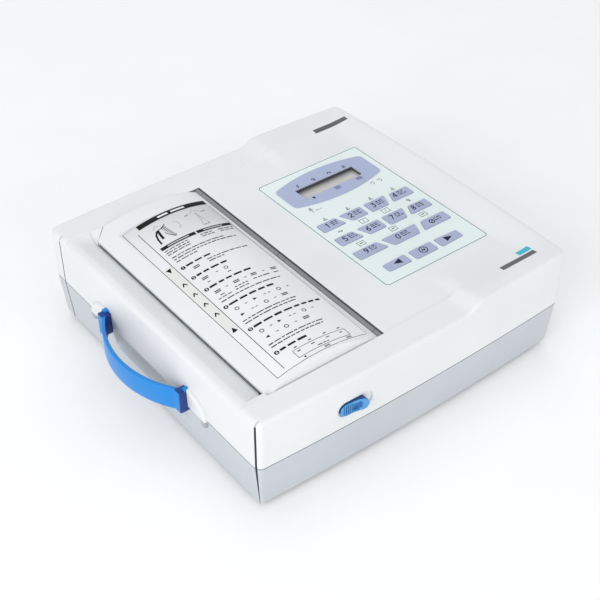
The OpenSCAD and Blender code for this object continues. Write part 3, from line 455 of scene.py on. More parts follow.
def outside_opening(x, y):
    """Distance from the edge of the compartment opening, positive outside it."""
    d = max(OPEN[0] - x, x - OPEN[1], OPEN[2] - y, y - OPEN[3])
    for (ax, ay), (bx, by) in zip(NOTCH, NOTCH[1:]):
        n = hypot(bx - ax, by - ay)
        d = max(d, ((x - ax) * -(by - ay) + (y - ay) * (bx - ax)) / n)
    return d


def arcs(edge, sign, r, n=6):
    """Places that close up towards an edge, for a rounding of radius r."""
    return [edge + sign * r * (1 - cos(radians(90 * i / n))) for i in range(n + 1)]


# grid lines of the top: close together where it bends
edge_u = sorted(arcs(-HW, 1, R_LEFT) + arcs(HW, -1, R_EDGE) + [
    -142.4, -141.6, -141, -140.2, -139, OPEN[0] - ROUND, OPEN[0] - 0.2, OPEN[0] - 0.08, OPEN[0], -118, -113.2,
    -86, -46, -34.4, -34, OPEN[1], OPEN[1] + 0.08, OPEN[1] + 0.2, OPEN[1] + ROUND, 14, 14.4, 17, 40, 50.6, 51,
    58, 69.5, 80.5, 96.5, 120, 121.5, 136, 136.4, 146])
edge_v = sorted(arcs(-HD, 1, R_EDGE) + arcs(HD, -1, R_EDGE) + [
    -142.15, -141.9, -140.4, -140.15, -139, -137.5, -135.5, -132, -121.1, -120.85, -120.7, -120.57, -120.5,
    -119.2, -116.5, -116.2, -115.9, -115.6, -90, -80, -58.4, -58, -51, -49.6, -49, -48.2, -47, -45, 0, 0.4,
    45, 47, 48.2, 49, 49.6, 51, 80, 88, 104.1, 106, 108, 110.1, 112.4, 114.6, 114.68, 114.8, 114.95, 115.7,
    116.2, 116.6, 116.9, 117.2, 117.5, 123.0, 123.3, 124.7, 125.0, 128])
US = spaced(edge_u, 4.0)
VS = spaced(edge_v, 4.0)
NU, NV = len(US), len(VS)


HINGE_X, HINGE_Z = -22.7, 84.4
BARREL_R, PIN_BORE = 2.1, 1.55


def barrel(y0, y1):
    """Hinge barrel along Y with chamfered ends and a bore for the pin."""
    chamfer, sides = 0.25, 32
    small = BARREL_R - chamfer
    rings = [(y0, small), (y0 + chamfer, BARREL_R), (y1 - chamfer, BARREL_R), (y1, small),
             (y1, PIN_BORE), (y0, PIN_BORE), (y0, small)]
    verts = [(x, y, z) for y, r in rings for x, z in circle(HINGE_X, HINGE_Z, r, sides)]
    return verts, bands(len(rings), sides)


def groove_at(v):
    """Depth of the vertical grooves on the left side."""
    return 1.8 if 123.25 < v < 124.75 or -141.95 < v < -140.35 else 0.0


def groove(i, j):
    return groove_at(VS[j]) if i == 0 else 0.0


def in_groove(k):
    """Whether the wall between rim points k and k + 1 lies in one of the grooves."""
    (i, j), (i2, j2) = RIM[k], RIM[(k + 1) % len(RIM)]
    return i == 0 and i2 == 0 and (groove_at(VS[j]) > 0 or groove_at(VS[j2]) > 0)


def grid_top():
    verts, index = [], {}
    for j, v in enumerate(VS):
        for i, u in enumerate(US):
            x, y = plan(u, v)
            z = top(u, v) - trough(u, v)
            z -= max(fillet(u + HW, R_LEFT), fillet(HW - u, R_EDGE), fillet(HD - abs(v), R_EDGE))
            if OPEN[2] - ROUND <= v <= OPEN[3] + ROUND and OPEN[0] - ROUND <= u <= OPEN[1] + ROUND:
                z -= fillet(max(0.0, outside_opening(u, v)), ROUND)
            g = groove_at(v) * ease((-144.4 - u) / 1.6)
            x, z = x + g * 0.8, z - g * 0.8
            index[i, j] = len(verts)
            verts.append((x, y, z))
    faces = []
    for j in range(NV - 1):
        for i in range(NU - 1):
            cu, cv = (US[i] + US[i + 1]) / 2, (VS[j] + VS[j + 1]) / 2
            if OPEN[0] < cu < OPEN[1] and OPEN[2] < cv < OPEN[3]:
                continue
            if PANEL[0] < cu < PANEL[2] and PANEL[1] < cv < PANEL[3]:
                continue
            faces.append((index[i, j], index[i + 1, j], index[i + 1, j + 1], index[i, j + 1]))
    return verts, faces, index


RIM = around(range(NU), range(NV))


def rim_normals():
    pts = [plan(US[i], VS[j]) for i, j in RIM]
    out = []
    for k in range(len(pts)):
        (ax, ay), (bx, by) = pts[k - 1], pts[(k + 1) % len(pts)]
        dx, dy = bx - ax, by - ay
        n = hypot(dx, dy)
        out.append((dy / n, -dx / n))
    return pts, out


RIM_P, RIM_N = rim_normals()


LATCH_PATCH = (-86, -46, 52, 70)


def wall_faces(faces, dark, previous, ring, is_gap, deep=False):
    """Faces between two rings round the rim, without the gaps. Those in a groove or deep in the seam are marked
    dark, for the painted shade grey.
    """
    for k, (i, j) in enumerate(RIM):
        q = (k + 1) % len(RIM)
        if is_gap((US[i] + US[RIM[q][0]]) / 2, {j, RIM[q][1]}, k):
            continue
        faces.append((previous[k], ring[k], ring[q], previous[q]))
        if deep or in_groove(k):
            dark.add(len(faces) - 1)


def upper_shell():
    dark = set()
    verts, faces, index = grid_top()
    previous = [index[k] for k in RIM]
    heights = [verts[q][2] for q in previous]
    x0, x1, z0, z1 = LATCH_PATCH
    # rings down the wall as height and inset; the first one lies halfway between the rim and the second
    levels = [(None, 0)] + [(z, 0) for z in (80, 70, 61, 52, 47, 45.2)]
    levels += [(44.7, 0.02), (44.35, 0.18), (44.15, 0.5), (44.1, 1.6), (45.5, 2.2)]
    for level, extra in levels:
        ring = []
        for k, (i, j) in enumerate(RIM):
            (x, y), (nx, ny) = RIM_P[k], RIM_N[k]
            inset = groove(i, j) + extra
            z = (heights[k] + levels[1][0]) / 2 if level is None else level
            ring.append(len(verts))
            verts.append((x - nx * inset, y - ny * inset, z))
        wall_faces(faces, dark, previous, ring,
                   lambda u, row, k: row == {0} and x0 < u < x1 and z0 <= verts[ring[k]][2] < z1)
        previous = ring
    # inner walls of the compartment, seen when the door is open; painted shade grey, so that the gap round the
    # closed door reads as a dark shadow line
    outside = len(faces)
    iu = [i for i, u in enumerate(US) if OPEN[0] - 1e-6 <= u <= OPEN[1] + 1e-6]
    jv = [j for j, v in enumerate(VS) if OPEN[2] - 1e-6 <= v <= OPEN[3] + 1e-6]
    loop = around(iu, jv)
    previous = [index[k] for k in loop]
    for out, drop in ((0, LIP_DROP), (3.0, 0)):
        ring = []
        for k, (i, j) in enumerate(loop):
            x, y, z = verts[previous[k]]
            dx = -out if i == iu[0] else out if i == iu[-1] else 0
            dy = -out if j == jv[0] else out if j == jv[-1] else 0
            ring.append(len(verts))
            verts.append((x + dx, y + dy, z - drop))
        faces += band(previous, ring)
        previous = ring
    # faces in the grooves and the seam, and all the compartment walls, take the painted shade grey
    shades = [int(q in dark) for q in range(outside)] + [1] * (len(faces) - outside)
    # shelf over the finger hollow
    v, f = merge((verts, faces), box_mesh((-146.4, -51, 44.12), (-131, 51, 46.2)))
    piece("upper_shell_skin", v, f, WHITE, "case", ("upper_shell",), "shell_white", sharp=38, mats=[WHITE, SHADE_GREY],
          face_mats=shades + [0] * (len(f) - len(shades)))
    parts = []
    for y in (-116, -2, 111):
        parts.append(barrel(y - 4, y + 4))
        parts.append(box_mesh((-22.4, y - 3.9, 82.1), (-18.5, y + 3.9, 84.2)))
    v, f = merge(*parts)
    piece("case_hinge_knuckles", v, f, HINGE, "case", (), "grey_plastic", sharp=35)


upper_shell()


def corner_ramp():
    """Patch between the cut-off corner of the door and the square corner of the opening."""
    path = []
    for (ax, ay), (bx, by) in zip(NOTCH, NOTCH[1:]):
        path += [(ax + (bx - ax) * i / 12, ay + (by - ay) * i / 12) for i in range(12)]
    path.append(NOTCH[-1])
    n = len(path)
    border = []
    for k in range(n):
        t = 2 * k / (n - 1)
        border.append((-125.4, 103.9 + 11.5 * min(t, 1)) if t <= 1 else (-125.4 + 12.4 * (t - 1), 115.4))
    verts = []
    cuts = [0, 0.012, 0.04, 0.1, 0.25, 0.5, 0.75, 1.0]
    for (ax, ay), (bx, by) in zip(path, border):
        verts.append((ax + 0.02, ay - 0.02, LIP - LIP_DROP))
        for c in cuts:
            x, y = ax + (bx - ax) * c, ay + (by - ay) * c
            verts.append((x, y, LOW - trough(x, y) - fillet(max(0.0, outside_opening(x, y)), ROUND) - 0.012))
    faces = [tuple(reversed(f)) for f in grid(n, len(cuts) + 1)]
    piece("exit_corner_ramp", verts, faces, WHITE, "case", (), "shell_white", sharp=45)


corner_ramp()


def front_y(x):
    return -HD - bow(x)


def latch_bay():
    """Front patch round the release slide: an oblong recess with a rounded lip and a slot for the stem."""
    x0, x1, z0, z1 = LATCH_PATCH
    cz, r, depth = 61.0, 6.25, 1.6
    left, right = -80.4 + r, -49.6 - r
    slot_end, slot_r = {left: -72.2, right: -63.8}, 3.05
    rim = [(cx, dx, dz) for cx, start in ((left, 90), (right, -90)) for dx,
           dz in arc(0, 0, 1, start, start + 180, 24)]
    verts, faces, border, corners = [], [], [], {}

    def ring(grow, back):
        first = len(verts)
        for cx, dx, dz in rim:
            verts.append((cx + dx * (r + grow), front_y(cx + dx * r) + back, cz + dz * (r + grow)))
        return range(first, len(verts))
    # outer border as rays from the oblong to the rectangle
    for cx, dx, dz in rim:
        x, z = cx + dx * r, cz + dz * r
        reach = [((x1 if dx > 0 else x0) - x) / dx] if abs(dx) > 1e-6 else []
        reach += [((z1 if dz > 0 else z0) - z) / dz] if abs(dz) > 1e-6 else []
        bx = x + dx * min(reach)
        border.append(len(verts))
        verts.append((bx, front_y(bx), z + dz * min(reach)))
    for x, z in ((x0, z1), (x0, z0), (x1, z0), (x1, z1)):
        corners[x, z] = len(verts)
        verts.append((x, front_y(x), z))
    rings = [border, ring(0.9, 0.0), ring(0.5, 0.05), ring(0.2, 0.2), ring(0.0, 0.55), ring(0.0, depth)]
    rings.append(range(len(verts), len(verts) + len(rim)))
    for cx, dx, dz in rim:
        x = slot_end[cx] + dx * slot_r
        verts.append((x, front_y(x) + depth, cz + dz * slot_r))
    for a, b in zip(rings, rings[1:]):
        faces += band(a, b)
    for (x, z), q in corners.items():
        on_side = [k for k in border if abs(verts[k][0] - x) < 1e-4]
        on_level = [k for k in border if abs(verts[k][2] - z) < 1e-4]
        faces.append((q, min(on_side, key=lambda k: abs(verts[k][2] - z)),
                      min(on_level, key=lambda k: abs(verts[k][0] - x))))
    piece("latch_bay_lip", verts, faces, WHITE, slot="shell_white", sharp=50)


latch_bay()


def scoop(y, z, wall_x):
    """Inward reach of the finger hollow in the left side of the base."""
    if abs(y) > 49.6 or z < 18:
        return 0.0
    q = 28 ** 2 - (46 - z) ** 2
    if q <= 0:
        return 0.0
    reach = -164 + sqrt(q) - wall_x
    return max(0.0, reach) * ease((49.6 - abs(y)) / 1.4)


# bays of the back and right faces, and the gaps that the mains sockets go through
BAYS, BAY_LOW, BAY_HIGH = [(51, 136), (-34, 14)], 9, 40
SIDE_BAY, SIDE_BAY_X, BACK_BAY_Y = (-58, 0), 142.5, 136.0
SOCKET_GAPS = ((96.5, 121.5), (69.5, 80.5))


def base_inset(z):
    if z > 6.5:
        return (SEAM - z) / (SEAM - 6.5) * 3.6
    t = (6.5 - z) / 3.5
    return 3.6 + 3.2 * (1 - sqrt(max(0.0, 1 - t * t))) + 0.3 * t


def base_shell():
    dark, verts, faces = set(), [], []
    lip = [(45.8, 2.9), (43.9, 2.6), (43.85, 0.5), (43.7, 0.16), (43.4, 0.02)]
    wall = (42.5, 40.4, 40, 39.6, 37, 34, 33, 31, 29, 27, 25.5, 24, 22, 18, 15, 13, 9.4, 9, 8.6, 6.5, 5.6, 4.9,
            4.2, 3.7, 3.3, 3.1, 3.0)
    previous = None
    for z, extra in lip + [(z, None) for z in wall]:
        ring = []
        for k, (i, j) in enumerate(RIM):
            x, y = RIM_P[k]
            nx, ny = RIM_N[k]
            inset = base_inset(z) if extra is None else extra + base_inset(min(z, 44))
            g = groove(i, j) * 1.3
            px, py = x - nx * (inset + g), y - ny * (inset + g)
            if i == 0 and z < 44:
                px += scoop(VS[j], min(z, 43.9), px)
            in_bay = BAY_LOW < z < BAY_HIGH
            if j == NV - 1 and in_bay and any(a < US[i] < b for a, b in BAYS):
                py = BACK_BAY_Y
            if i == NU - 1 and in_bay and SIDE_BAY[0] < VS[j] < SIDE_BAY[1]:
                px = SIDE_BAY_X
            ring.append(len(verts))
            verts.append((px, py, z))
        if previous:
            zc = (z + verts[previous[0]][2]) / 2
            wall_faces(faces, dark, previous, ring, lambda u, row, k: row == {NV - 1} and 15 < zc < 33 and any(
                a < u < b for a, b in SOCKET_GAPS), deep=zc > SEAM - 0.25)
        previous = ring
    outline = []
    for (x, y), (nx, ny) in zip(RIM_P, RIM_N):
        q = (x - nx * 7.1, y - ny * 7.1)
        if not outline or hypot(q[0] - outline[-1][0], q[1] - outline[-1][1]) > 1.6:
            outline.append(q)
    # faces in the grooves and deep in the seam take the painted shade grey
    shades = [int(q in dark) for q in range(len(faces))]
    piece("base_shell_skin", verts, faces, GREY, "case", ("base_shell",), "shell_grey", sharp=38,
          mats=[GREY, SHADE_GREY], face_mats=shades)
    # battery opening, vents, screw holes and speaker grille
    holes = [rect(38, -124, 114, -66)] + [rect(x, 84, x + 3, 106) for x in range(64, 105, 8)]
    holes += [circle(x, y, 3.2, 24) for x, y in ((-134, -128), (134, -126), (-134, 126), (134, 126))]
    holes += [circle(x, y, 1.2, 12) for x, y in circle(20, 92, 6, 6)]
    plate("base_floor", [outline] + holes, 3.0, 5.5, 0.05, GREY, slot="shell_grey", sharp=30)


base_shell()

# Handle ----------------------------------------------------------------------


def strap_outline():
    r_out, r_in, cx = 87.0, 84.0, -85.0
    a, b = degrees(asin(50 / r_out)), degrees(asin(49.4 / r_in))
    return ([(-148, 57), (-155.4, 57), (-156.2, 56.2)] + arc(cx, 0, r_out, 180 - a, 180 + a, 56)
            + [(-156.2, -56.2), (-155.4, -57), (-148, -57), (-148, -50), (-151.6, -50)]
            + arc(cx, 0, r_in, 180 + b, 180 - b, 56) + [(-151.6, 50), (-148, 50)])


def handle():
    ob = plate("carry_strap", [strap_outline()], 39.45, 58.95, 0.75, BLUE, stands_for=("carry_handle",),
               slot="handle_blue", sharp=50)
    me = ob.data
    me.materials.append(BLUE_SHADE)
    for f in me.polygons:
        c = f.center * 1000
        x, y = c.x - SX, c.y - SY
        outward = Vector((x + 85.0, y, 0)).normalized()
        inner = f.normal.dot(outward) < -0.4 and abs(y) < 49.9
        ends = abs(y) > 49.9 and (abs(f.normal.y) > 0.5 or f.normal.z > 0.5)
        # inner faces and end faces get the painted shade blue
        f.material_index = 1 if inner or ends else 0
    for s, name in ((-1, "front"), (1, "back")):
        lug = [(-151.9, s * 53.1), (-148.0, s * 53.1), (-148.0, s * 56.9), (-151.9, s * 56.9)]
        if s < 0:
            lug.reverse()
        plate("strap_lug_" + name, [lug], 58.5, 60.5, 0.35, BLUE, slot="handle_blue")


handle()


def fairing(s, name):
    """Quarter-round plate beside the end of the strap, with a tip that carries on below the seam."""
    def stack(pts, cy, cz, levels, mat, label, slot):
        lowest = min(z for _, z in pts)
        verts = []
        for x, inset in levels:
            for y, z in pts:
                dy, dz = cy - y, cz - z
                k = inset / (hypot(dy, dz) or 1)
                verts.append((x, s * (y + dy * k), max(z + dz * k, lowest)))
        faces = bands(len(levels), len(pts)) + [tuple(range(len(verts) - len(pts), len(verts)))]
        if s > 0:
            faces = [tuple(reversed(f)) for f in faces]
        piece(label, verts, faces, mat, slot=slot, sharp=42)

    def dome(x, r, n):
        return [(x - r * up, r * (1 - c)) for c, up in arc(0, 0, 1, 0, 90, n)]

    foot = SEAM + 0.1
    quarter = [(57 + 22.0 * c, foot + 16.4 * up) for c, up in arc(0, 0, 1, 90, 0, 28)]
    stack([(57.05, foot)] + quarter, 60.0, 46.0, [(-147.0, 0.0)] + dome(-149.1, 1.5, 5), WHITE,
          "strap_fairing_" + name, "shell_white")
    tip = [(73.0, 43.8), (79.0, 43.8)] + arc(76.0, 40.0, 3.0, 0, -180, 12)
    # the tip is the base grey darkened as painted shade
    stack(tip, 76.0, 41.5, [(-145.5, 0.0)] + dome(-149, 1.3, 4), TIP, "strap_fairing_tip_" + name, "shell_grey")


for side_sign, side_name in ((-1, "front"), (1, "back")):
    fairing(side_sign, side_name)

# Release slide ---------------------------------------------------------------


def latch():
    x0, ln, zc, r, slim = -80.0, 24.5, 61.0, 5.8, 0.45
    fy = -HD + 4 * (65 / HW) ** 2
    path = [(0, 1.0), (9, 1.6), (11, 1.8), (16, 2.6), (20, 4.0), (22.2, 4.4), (24.5, 4.4)]

    def proud(u):
        for (a, pa), (b, pb) in zip(path, path[1:]):
            if u <= b:
                return pa + (pb - pa) * ease((u - a) / (b - a))
        return path[-1][1]

    def height(u, w):
        z = w * r
        p = proud(u)
        for rib in (3.4, 5.25, 7.1, 8.95, 10.8):
            p -= 1.3 * exp(-((u - rib) / 0.42) ** 2) * ease((r - 1.0 - abs(z)) / 0.7)
        q = max(abs(u - 15.3) / 4.0, abs(z + 0.5) / 4.3, hypot((u - 15.3) / 4.6, (z + 0.5) / 4.9))
        p -= 2.4 * (1 - ease((q - 0.7) / 0.3)) if q < 1 else 0
        return max(-1.0, min(p, 4.39))

    us = arcs(0, 1, r, 16)[:-1] + spaced([r, ln - r], 0.16)[:-1] + arcs(ln, -1, r, 16)[::-1]
    ws = [sin(pi / 2 * (2 * i / 40 - 1)) for i in range(41)]
    verts, mats = [], []
    nw = len(ws)
    for u in us:
        hh = max(r - fillet(min(u, ln - u), r) - slim, 0.05)
        for w in ws:
            z = hh * w
            edge = min(hh - abs(z), 2.0)
            y = fy - height(u, z / r) + 0.7 * (1 - ease(edge / 0.8))
            verts.append((x0 + slim + u * (ln - 2 * slim) / ln, y, zc + z))
    faces = grid(len(us), nw)
    for i in range(len(us) - 1):
        for j in range(nw - 1):
            u, z = (us[i] + us[i + 1]) / 2, (ws[j] + ws[j + 1]) / 2 * r
            deep = proud(u) - height(u, z / r)
            # faces deep in the rib grooves and the scoop get the painted shade
            mats.append(2 if deep > (0.55 if u < 11.6 else 0.7) else 0)
    rim = [i * nw + j for i, j in around(range(len(us)), range(nw))]
    start = len(verts)
    verts += [(verts[k][0], fy + 1.2, verts[k][2]) for k in rim]
    back = range(start, start + len(rim))
    faces += [(a, d, c, b) for a, b, c, d in band(rim, back)] + [tuple(back)]
    # side walls and back of the slide, and the stem, foot and arm, get the painted side shade
    mats += [1] * (len(rim) + 1)
    stem = box_mesh((x0 + 6, fy + 0.8, zc - 2.2), (x0 + 14, -HD + 8, zc + 2.2))
    foot = box_mesh((x0 - 2, -HD + 5, zc - 5), (x0 + 22, -HD + 8, zc + 5))
    arm = box_mesh((x0 + 6, -HD + 7, zc + 1), (x0 + 14, -121, zc + 4.5))
    v, f = merge((verts, faces), stem, foot, arm)
    piece("release_slide", v, f, LATCH, "latch", ("latch_slider",), "latch_blue", sharp=40,
          mats=[LATCH, LATCH_SIDE_SHADE, LATCH_GROOVE_SHADE], face_mats=mats + [1] * (len(f) - len(mats)))


latch()

# Paper door ------------------------------------------------------------------

DOOR = (-124.0, -25.1, -119.6, 114.2)
DOOR_FOOT, FRONT_EDGE_Z, REAR_EDGE_Z = 82.6, 86.4, 88.0
ARC_X, ARC_Z, ARC_R = -74.3, -43.7, 138.0
KNUCKLES = [(-111.6, -6.4), (2.4, 106.6)]


def arch(x, lift=0.0):
    return ARC_Z - 0.12 + sqrt((ARC_R + lift) ** 2 - (x - ARC_X) ** 2)


def door():
    xs = spaced([-124, -123.6, -117.5, -112, -100, -25.5, DOOR[1]], 3.0)
    ts = spaced([0, 0.004, 0.02, 0.5, 0.94, 0.98, 0.996, 1.0], 0.02)
    verts, faces, rows = [], [], []

    def back(x):
        y = DOOR[3] - max(0.0, (arch(x) - REAR_EDGE_Z) * 3 / 8)
        if x < -117.5:
            return min(y, 103.5 + (x + 124) * 6 / 6.5)
        return min(y, 109.5 + (x + 117.5)) if x < -112 else y

    def rear(x):
        slope = max(0.0, (arch(x) - REAR_EDGE_Z) * 3 / 8) if x >= -112 else 0
        return min(DOOR[3], back(x) + slope)

    def front(x):
        return DOOR[2] + max(0.0, (arch(x) - FRONT_EDGE_Z) / 1.6)

    def row(fn):
        rows.append(range(len(verts), len(verts) + len(xs)))
        verts.extend(fn(x) for x in xs)

    row(lambda x: (x, DOOR[2], DOOR_FOOT))
    row(lambda x: (x, DOOR[2], min(arch(x), FRONT_EDGE_Z)))
    for t in ts:
        row(lambda x: (x, front(x) + (back(x) - front(x)) * t, arch(x)))
    row(lambda x: (x, rear(x), min(arch(x), REAR_EDGE_Z)))
    row(lambda x: (x, rear(x), DOOR_FOOT))
    for a, b in zip(rows, rows[1:]):
        faces += band(a, b, closed=False)
    for col, flip in ((0, False), (len(xs) - 1, True)):
        low = []
        for ids in rows:
            v = verts[ids[col]]
            low.append(len(verts))
            verts.append((v[0], v[1], DOOR_FOOT))
        for k in range(len(rows) - 1):
            q = (rows[k][col], rows[k + 1][col], low[k + 1], low[k])
            faces.append(q if not flip else tuple(reversed(q)))
    ob = piece("paper_door_skin", verts, faces, DOOR_WHITE, "door", ("paper_door",), "shell_white", sharp=40)
    bm = bmesh.new()
    bm.from_mesh(ob.data)
    bmesh.ops.remove_doubles(bm, verts=bm.verts, dist=0.00002)
    bmesh.ops.dissolve_degenerate(bm, edges=bm.edges, dist=0.00001)
    bmesh.ops.recalc_face_normals(bm, faces=bm.faces)
    top_face = max(bm.faces, key=lambda f: f.calc_center_median().z)
    if top_face.normal.z < 0:
        bmesh.ops.reverse_faces(bm, faces=bm.faces)
    bm.to_mesh(ob.data)
    bm.free()
    ob.data.shade_smooth()
    ob.data.set_sharp_from_angle(angle=radians(40))
    edge = ob.modifiers.new("edge", "BEVEL")
    edge.width = 0.7 * MM
    edge.segments = 3
    edge.limit_method = "ANGLE"
    edge.angle_limit = radians(20)
    sol = ob.modifiers.new("wall", "SOLIDIFY")
    sol.thickness = 2.0 * MM
    sol.offset = -1
    parts = [box_mesh((-60, -117.4, 66), (-52, -115.6, 86))]
    for a, b in KNUCKLES:
        parts.append(barrel(a, b))
        parts.append(box_mesh((-26.4, a + 0.1, 82.7), (HINGE_X - 1.7, b - 0.1, 84.8)))
    v, f = merge(*parts)
    piece("door_hinge_barrels", v, f, HINGE, "door", (), "grey_plastic", sharp=35)


door()

# Printed marks ---------------------------------------------------------------

random.seed(7)


def bar(x0, y0, x1, y1, w, step=3.0):
    dx, dy = x1 - x0, y1 - y0
    n = hypot(dx, dy)
    if n < 1e-6:
        return []
    px, py = -dy / n * w / 2, dx / n * w / 2
    k = max(1, ceil(n / step))
    out = []
    for i in range(k):
        a, b = i / k, (i + 1) / k
        ax, ay, bx, by = x0 + dx * a, y0 + dy * a, x0 + dx * b, y0 + dy * b
        out.append([(ax - px, ay - py), (bx - px, by - py), (bx + px, by + py), (ax + px, ay + py)])
    return out


def line(pts, w, closed=False):
    pts = list(pts) + ([pts[0]] if closed else [])
    out = []
    for (ax, ay), (bx, by) in zip(pts, pts[1:]):
        n = hypot(bx - ax, by - ay) or 1
        ex, ey = (bx - ax) / n * w * 0.35, (by - ay) / n * w * 0.35
        out += bar(ax - ex, ay - ey, bx + ex, by + ey, w)
    return out


def disc(x, y, r):
    return [circle(x, y, r, 20)]


def ring(x, y, r, w):
    return line(circle(x, y, r, 18), w, True)


def frame_line(x0, y0, x1, y1, w):
    return line(rect(x0, y0, x1, y1), w, True)


def triangle(x, y, s, way):
    pts = [(1, 0), (-0.8, 0.75), (-0.8, -0.75)]
    c, d = {"right": (1, 0), "left": (-1, 0), "up": (0, 1), "down": (0, -1)}[way]
    return [[(x + s * (px * c - py * d), y + s * (px * d + py * c)) for px, py in pts]]


def words(x0, x1, y, h, long_word=5.0):
    """A row of generic bars, one for each word of a line of small print."""
    out, x = [], x0
    while x < x1 - h:
        n = min(x1 - x, h * random.uniform(1.6, long_word))
        out += bar(x, y, x + n, y, h * random.uniform(0.62, 0.8), 4.0)
        x += n + h * 0.7
    return out


DIGITS = {
    "0": [[(0.5, 0), (0.12, 0.3), (0.12, 1.2), (0.5, 1.5), (0.88, 1.2), (0.88, 0.3), (0.5, 0)]],
    "1": [[(0.2, 1.2), (0.55, 1.5), (0.55, 0)]],
    "2": [[(0.1, 1.15), (0.3, 1.45), (0.7, 1.45), (0.9, 1.15), (0.8, 0.8), (0.1, 0), (0.95, 0)]],
    "3": [[(0.1, 1.4), (0.85, 1.4), (0.45, 0.85), (0.85, 0.7), (0.9, 0.3), (0.6, 0), (0.1, 0.1)]],
    "4": [[(0.7, 0), (0.7, 1.5), (0.05, 0.45), (1.0, 0.45)]],
    "5": [[(0.9, 1.5), (0.2, 1.5), (0.12, 0.85), (0.6, 0.95), (0.9, 0.65), (0.85, 0.2), (0.5, 0), (0.1, 0.1)]],
    "6": [[(0.8, 1.45), (0.3, 1.1), (0.1, 0.5), (0.3, 0.05), (0.7, 0.05), (0.9, 0.4), (0.7, 0.8), (0.3, 0.8),
           (0.12, 0.5)]],
    "7": [[(0.1, 1.5), (0.95, 1.5), (0.4, 0)]],
    "8": [[(0.5, 0.8), (0.2, 1.1), (0.3, 1.45), (0.7, 1.45), (0.8, 1.1), (0.5, 0.8), (0.1, 0.4), (0.3, 0), (0.7, 0),
           (0.9, 0.4), (0.5, 0.8)]],
    "9": [[(0.85, 1.0), (0.6, 0.7), (0.25, 0.8), (0.12, 1.15), (0.35, 1.5), (0.75, 1.45), (0.88, 1.0), (0.7, 0.3),
           (0.3, 0)]],
}


def digit(ch, x, y, size, w, slant=0.0):
    out = []
    for stroke in DIGITS[ch]:
        out += line([(x + size * ((px - 0.5) + slant * py), y + size * (py - 0.75)) for px, py in stroke], w)
    return out


def ink(name, shapes, surface, mat, body="case", lift=0.03, depth=0.05):
    """Printed shapes as very thin raised films that follow the surface under them."""
    verts, faces = [], []
    for pts in shapes:
        area2 = sum(ax * by - bx * ay for (ax, ay), (bx, by) in zip(pts, pts[1:] + pts[:1]))
        if area2 < 0:
            pts = pts[::-1]
        n, k = len(verts), len(pts)
        verts += [(x, y, surface(x, y) + lift) for x, y in pts]
        verts += [(x, y, surface(x, y) + lift - depth) for x, y in pts]
        faces.append(tuple(range(n, n + k)))
        faces.append(tuple(reversed(range(n + k, n + 2 * k))))
        faces += [(n + k + i, n + k + (i + 1) % k, n + (i + 1) % k, n + i) for i in range(k)]
    piece(name, verts, faces, mat, body, sharp=30)


def tilt(shapes):
    """Rows on the door's film rise a little to the right at the back and fall at the front."""
    return [[(x, y + (-0.01 + 0.000226 * (y + 115)) * (x + 96)) for x, y in pts] for pts in shapes]


def on_label(x, y):
    return arch(x, 0.25)


def label_film():
    """Printed film glued on the crown of the door, with rounded corners and rims."""
    x0, x1, y0, y1, r = -111.0, -28.5, -113.4, 95.0, 1.6
    near = [0, 0.05, 0.15] + arcs(0, 1, r, 7)[1:]
    xs = sorted([x0 + d for d in near] + [x1 - d for d in near] + spaced([x0 + r + 0.5, x1 - r - 0.5], 1.5))
    verts = []
    for x in xs:
        d = min(x - x0, x1 - x)
        cut = fillet(d, r)
        rim = 0.25 * min(1.0, d / 0.15) ** 0.5
        steps = [(cut, 0.0), (cut + 0.04, 0.18), (cut + 0.12, 0.25)]
        for y, h in [(y0 + c, h) for c, h in steps] + [(y1 - c, h) for c, h in reversed(steps)]:
            verts.append((x, y, arch(x, min(h, rim) - 0.02)))
    piece("label_film", verts, grid(len(xs), 6), LABEL, "door", ("door_label",), "label_film", sharp=50)


label_film()


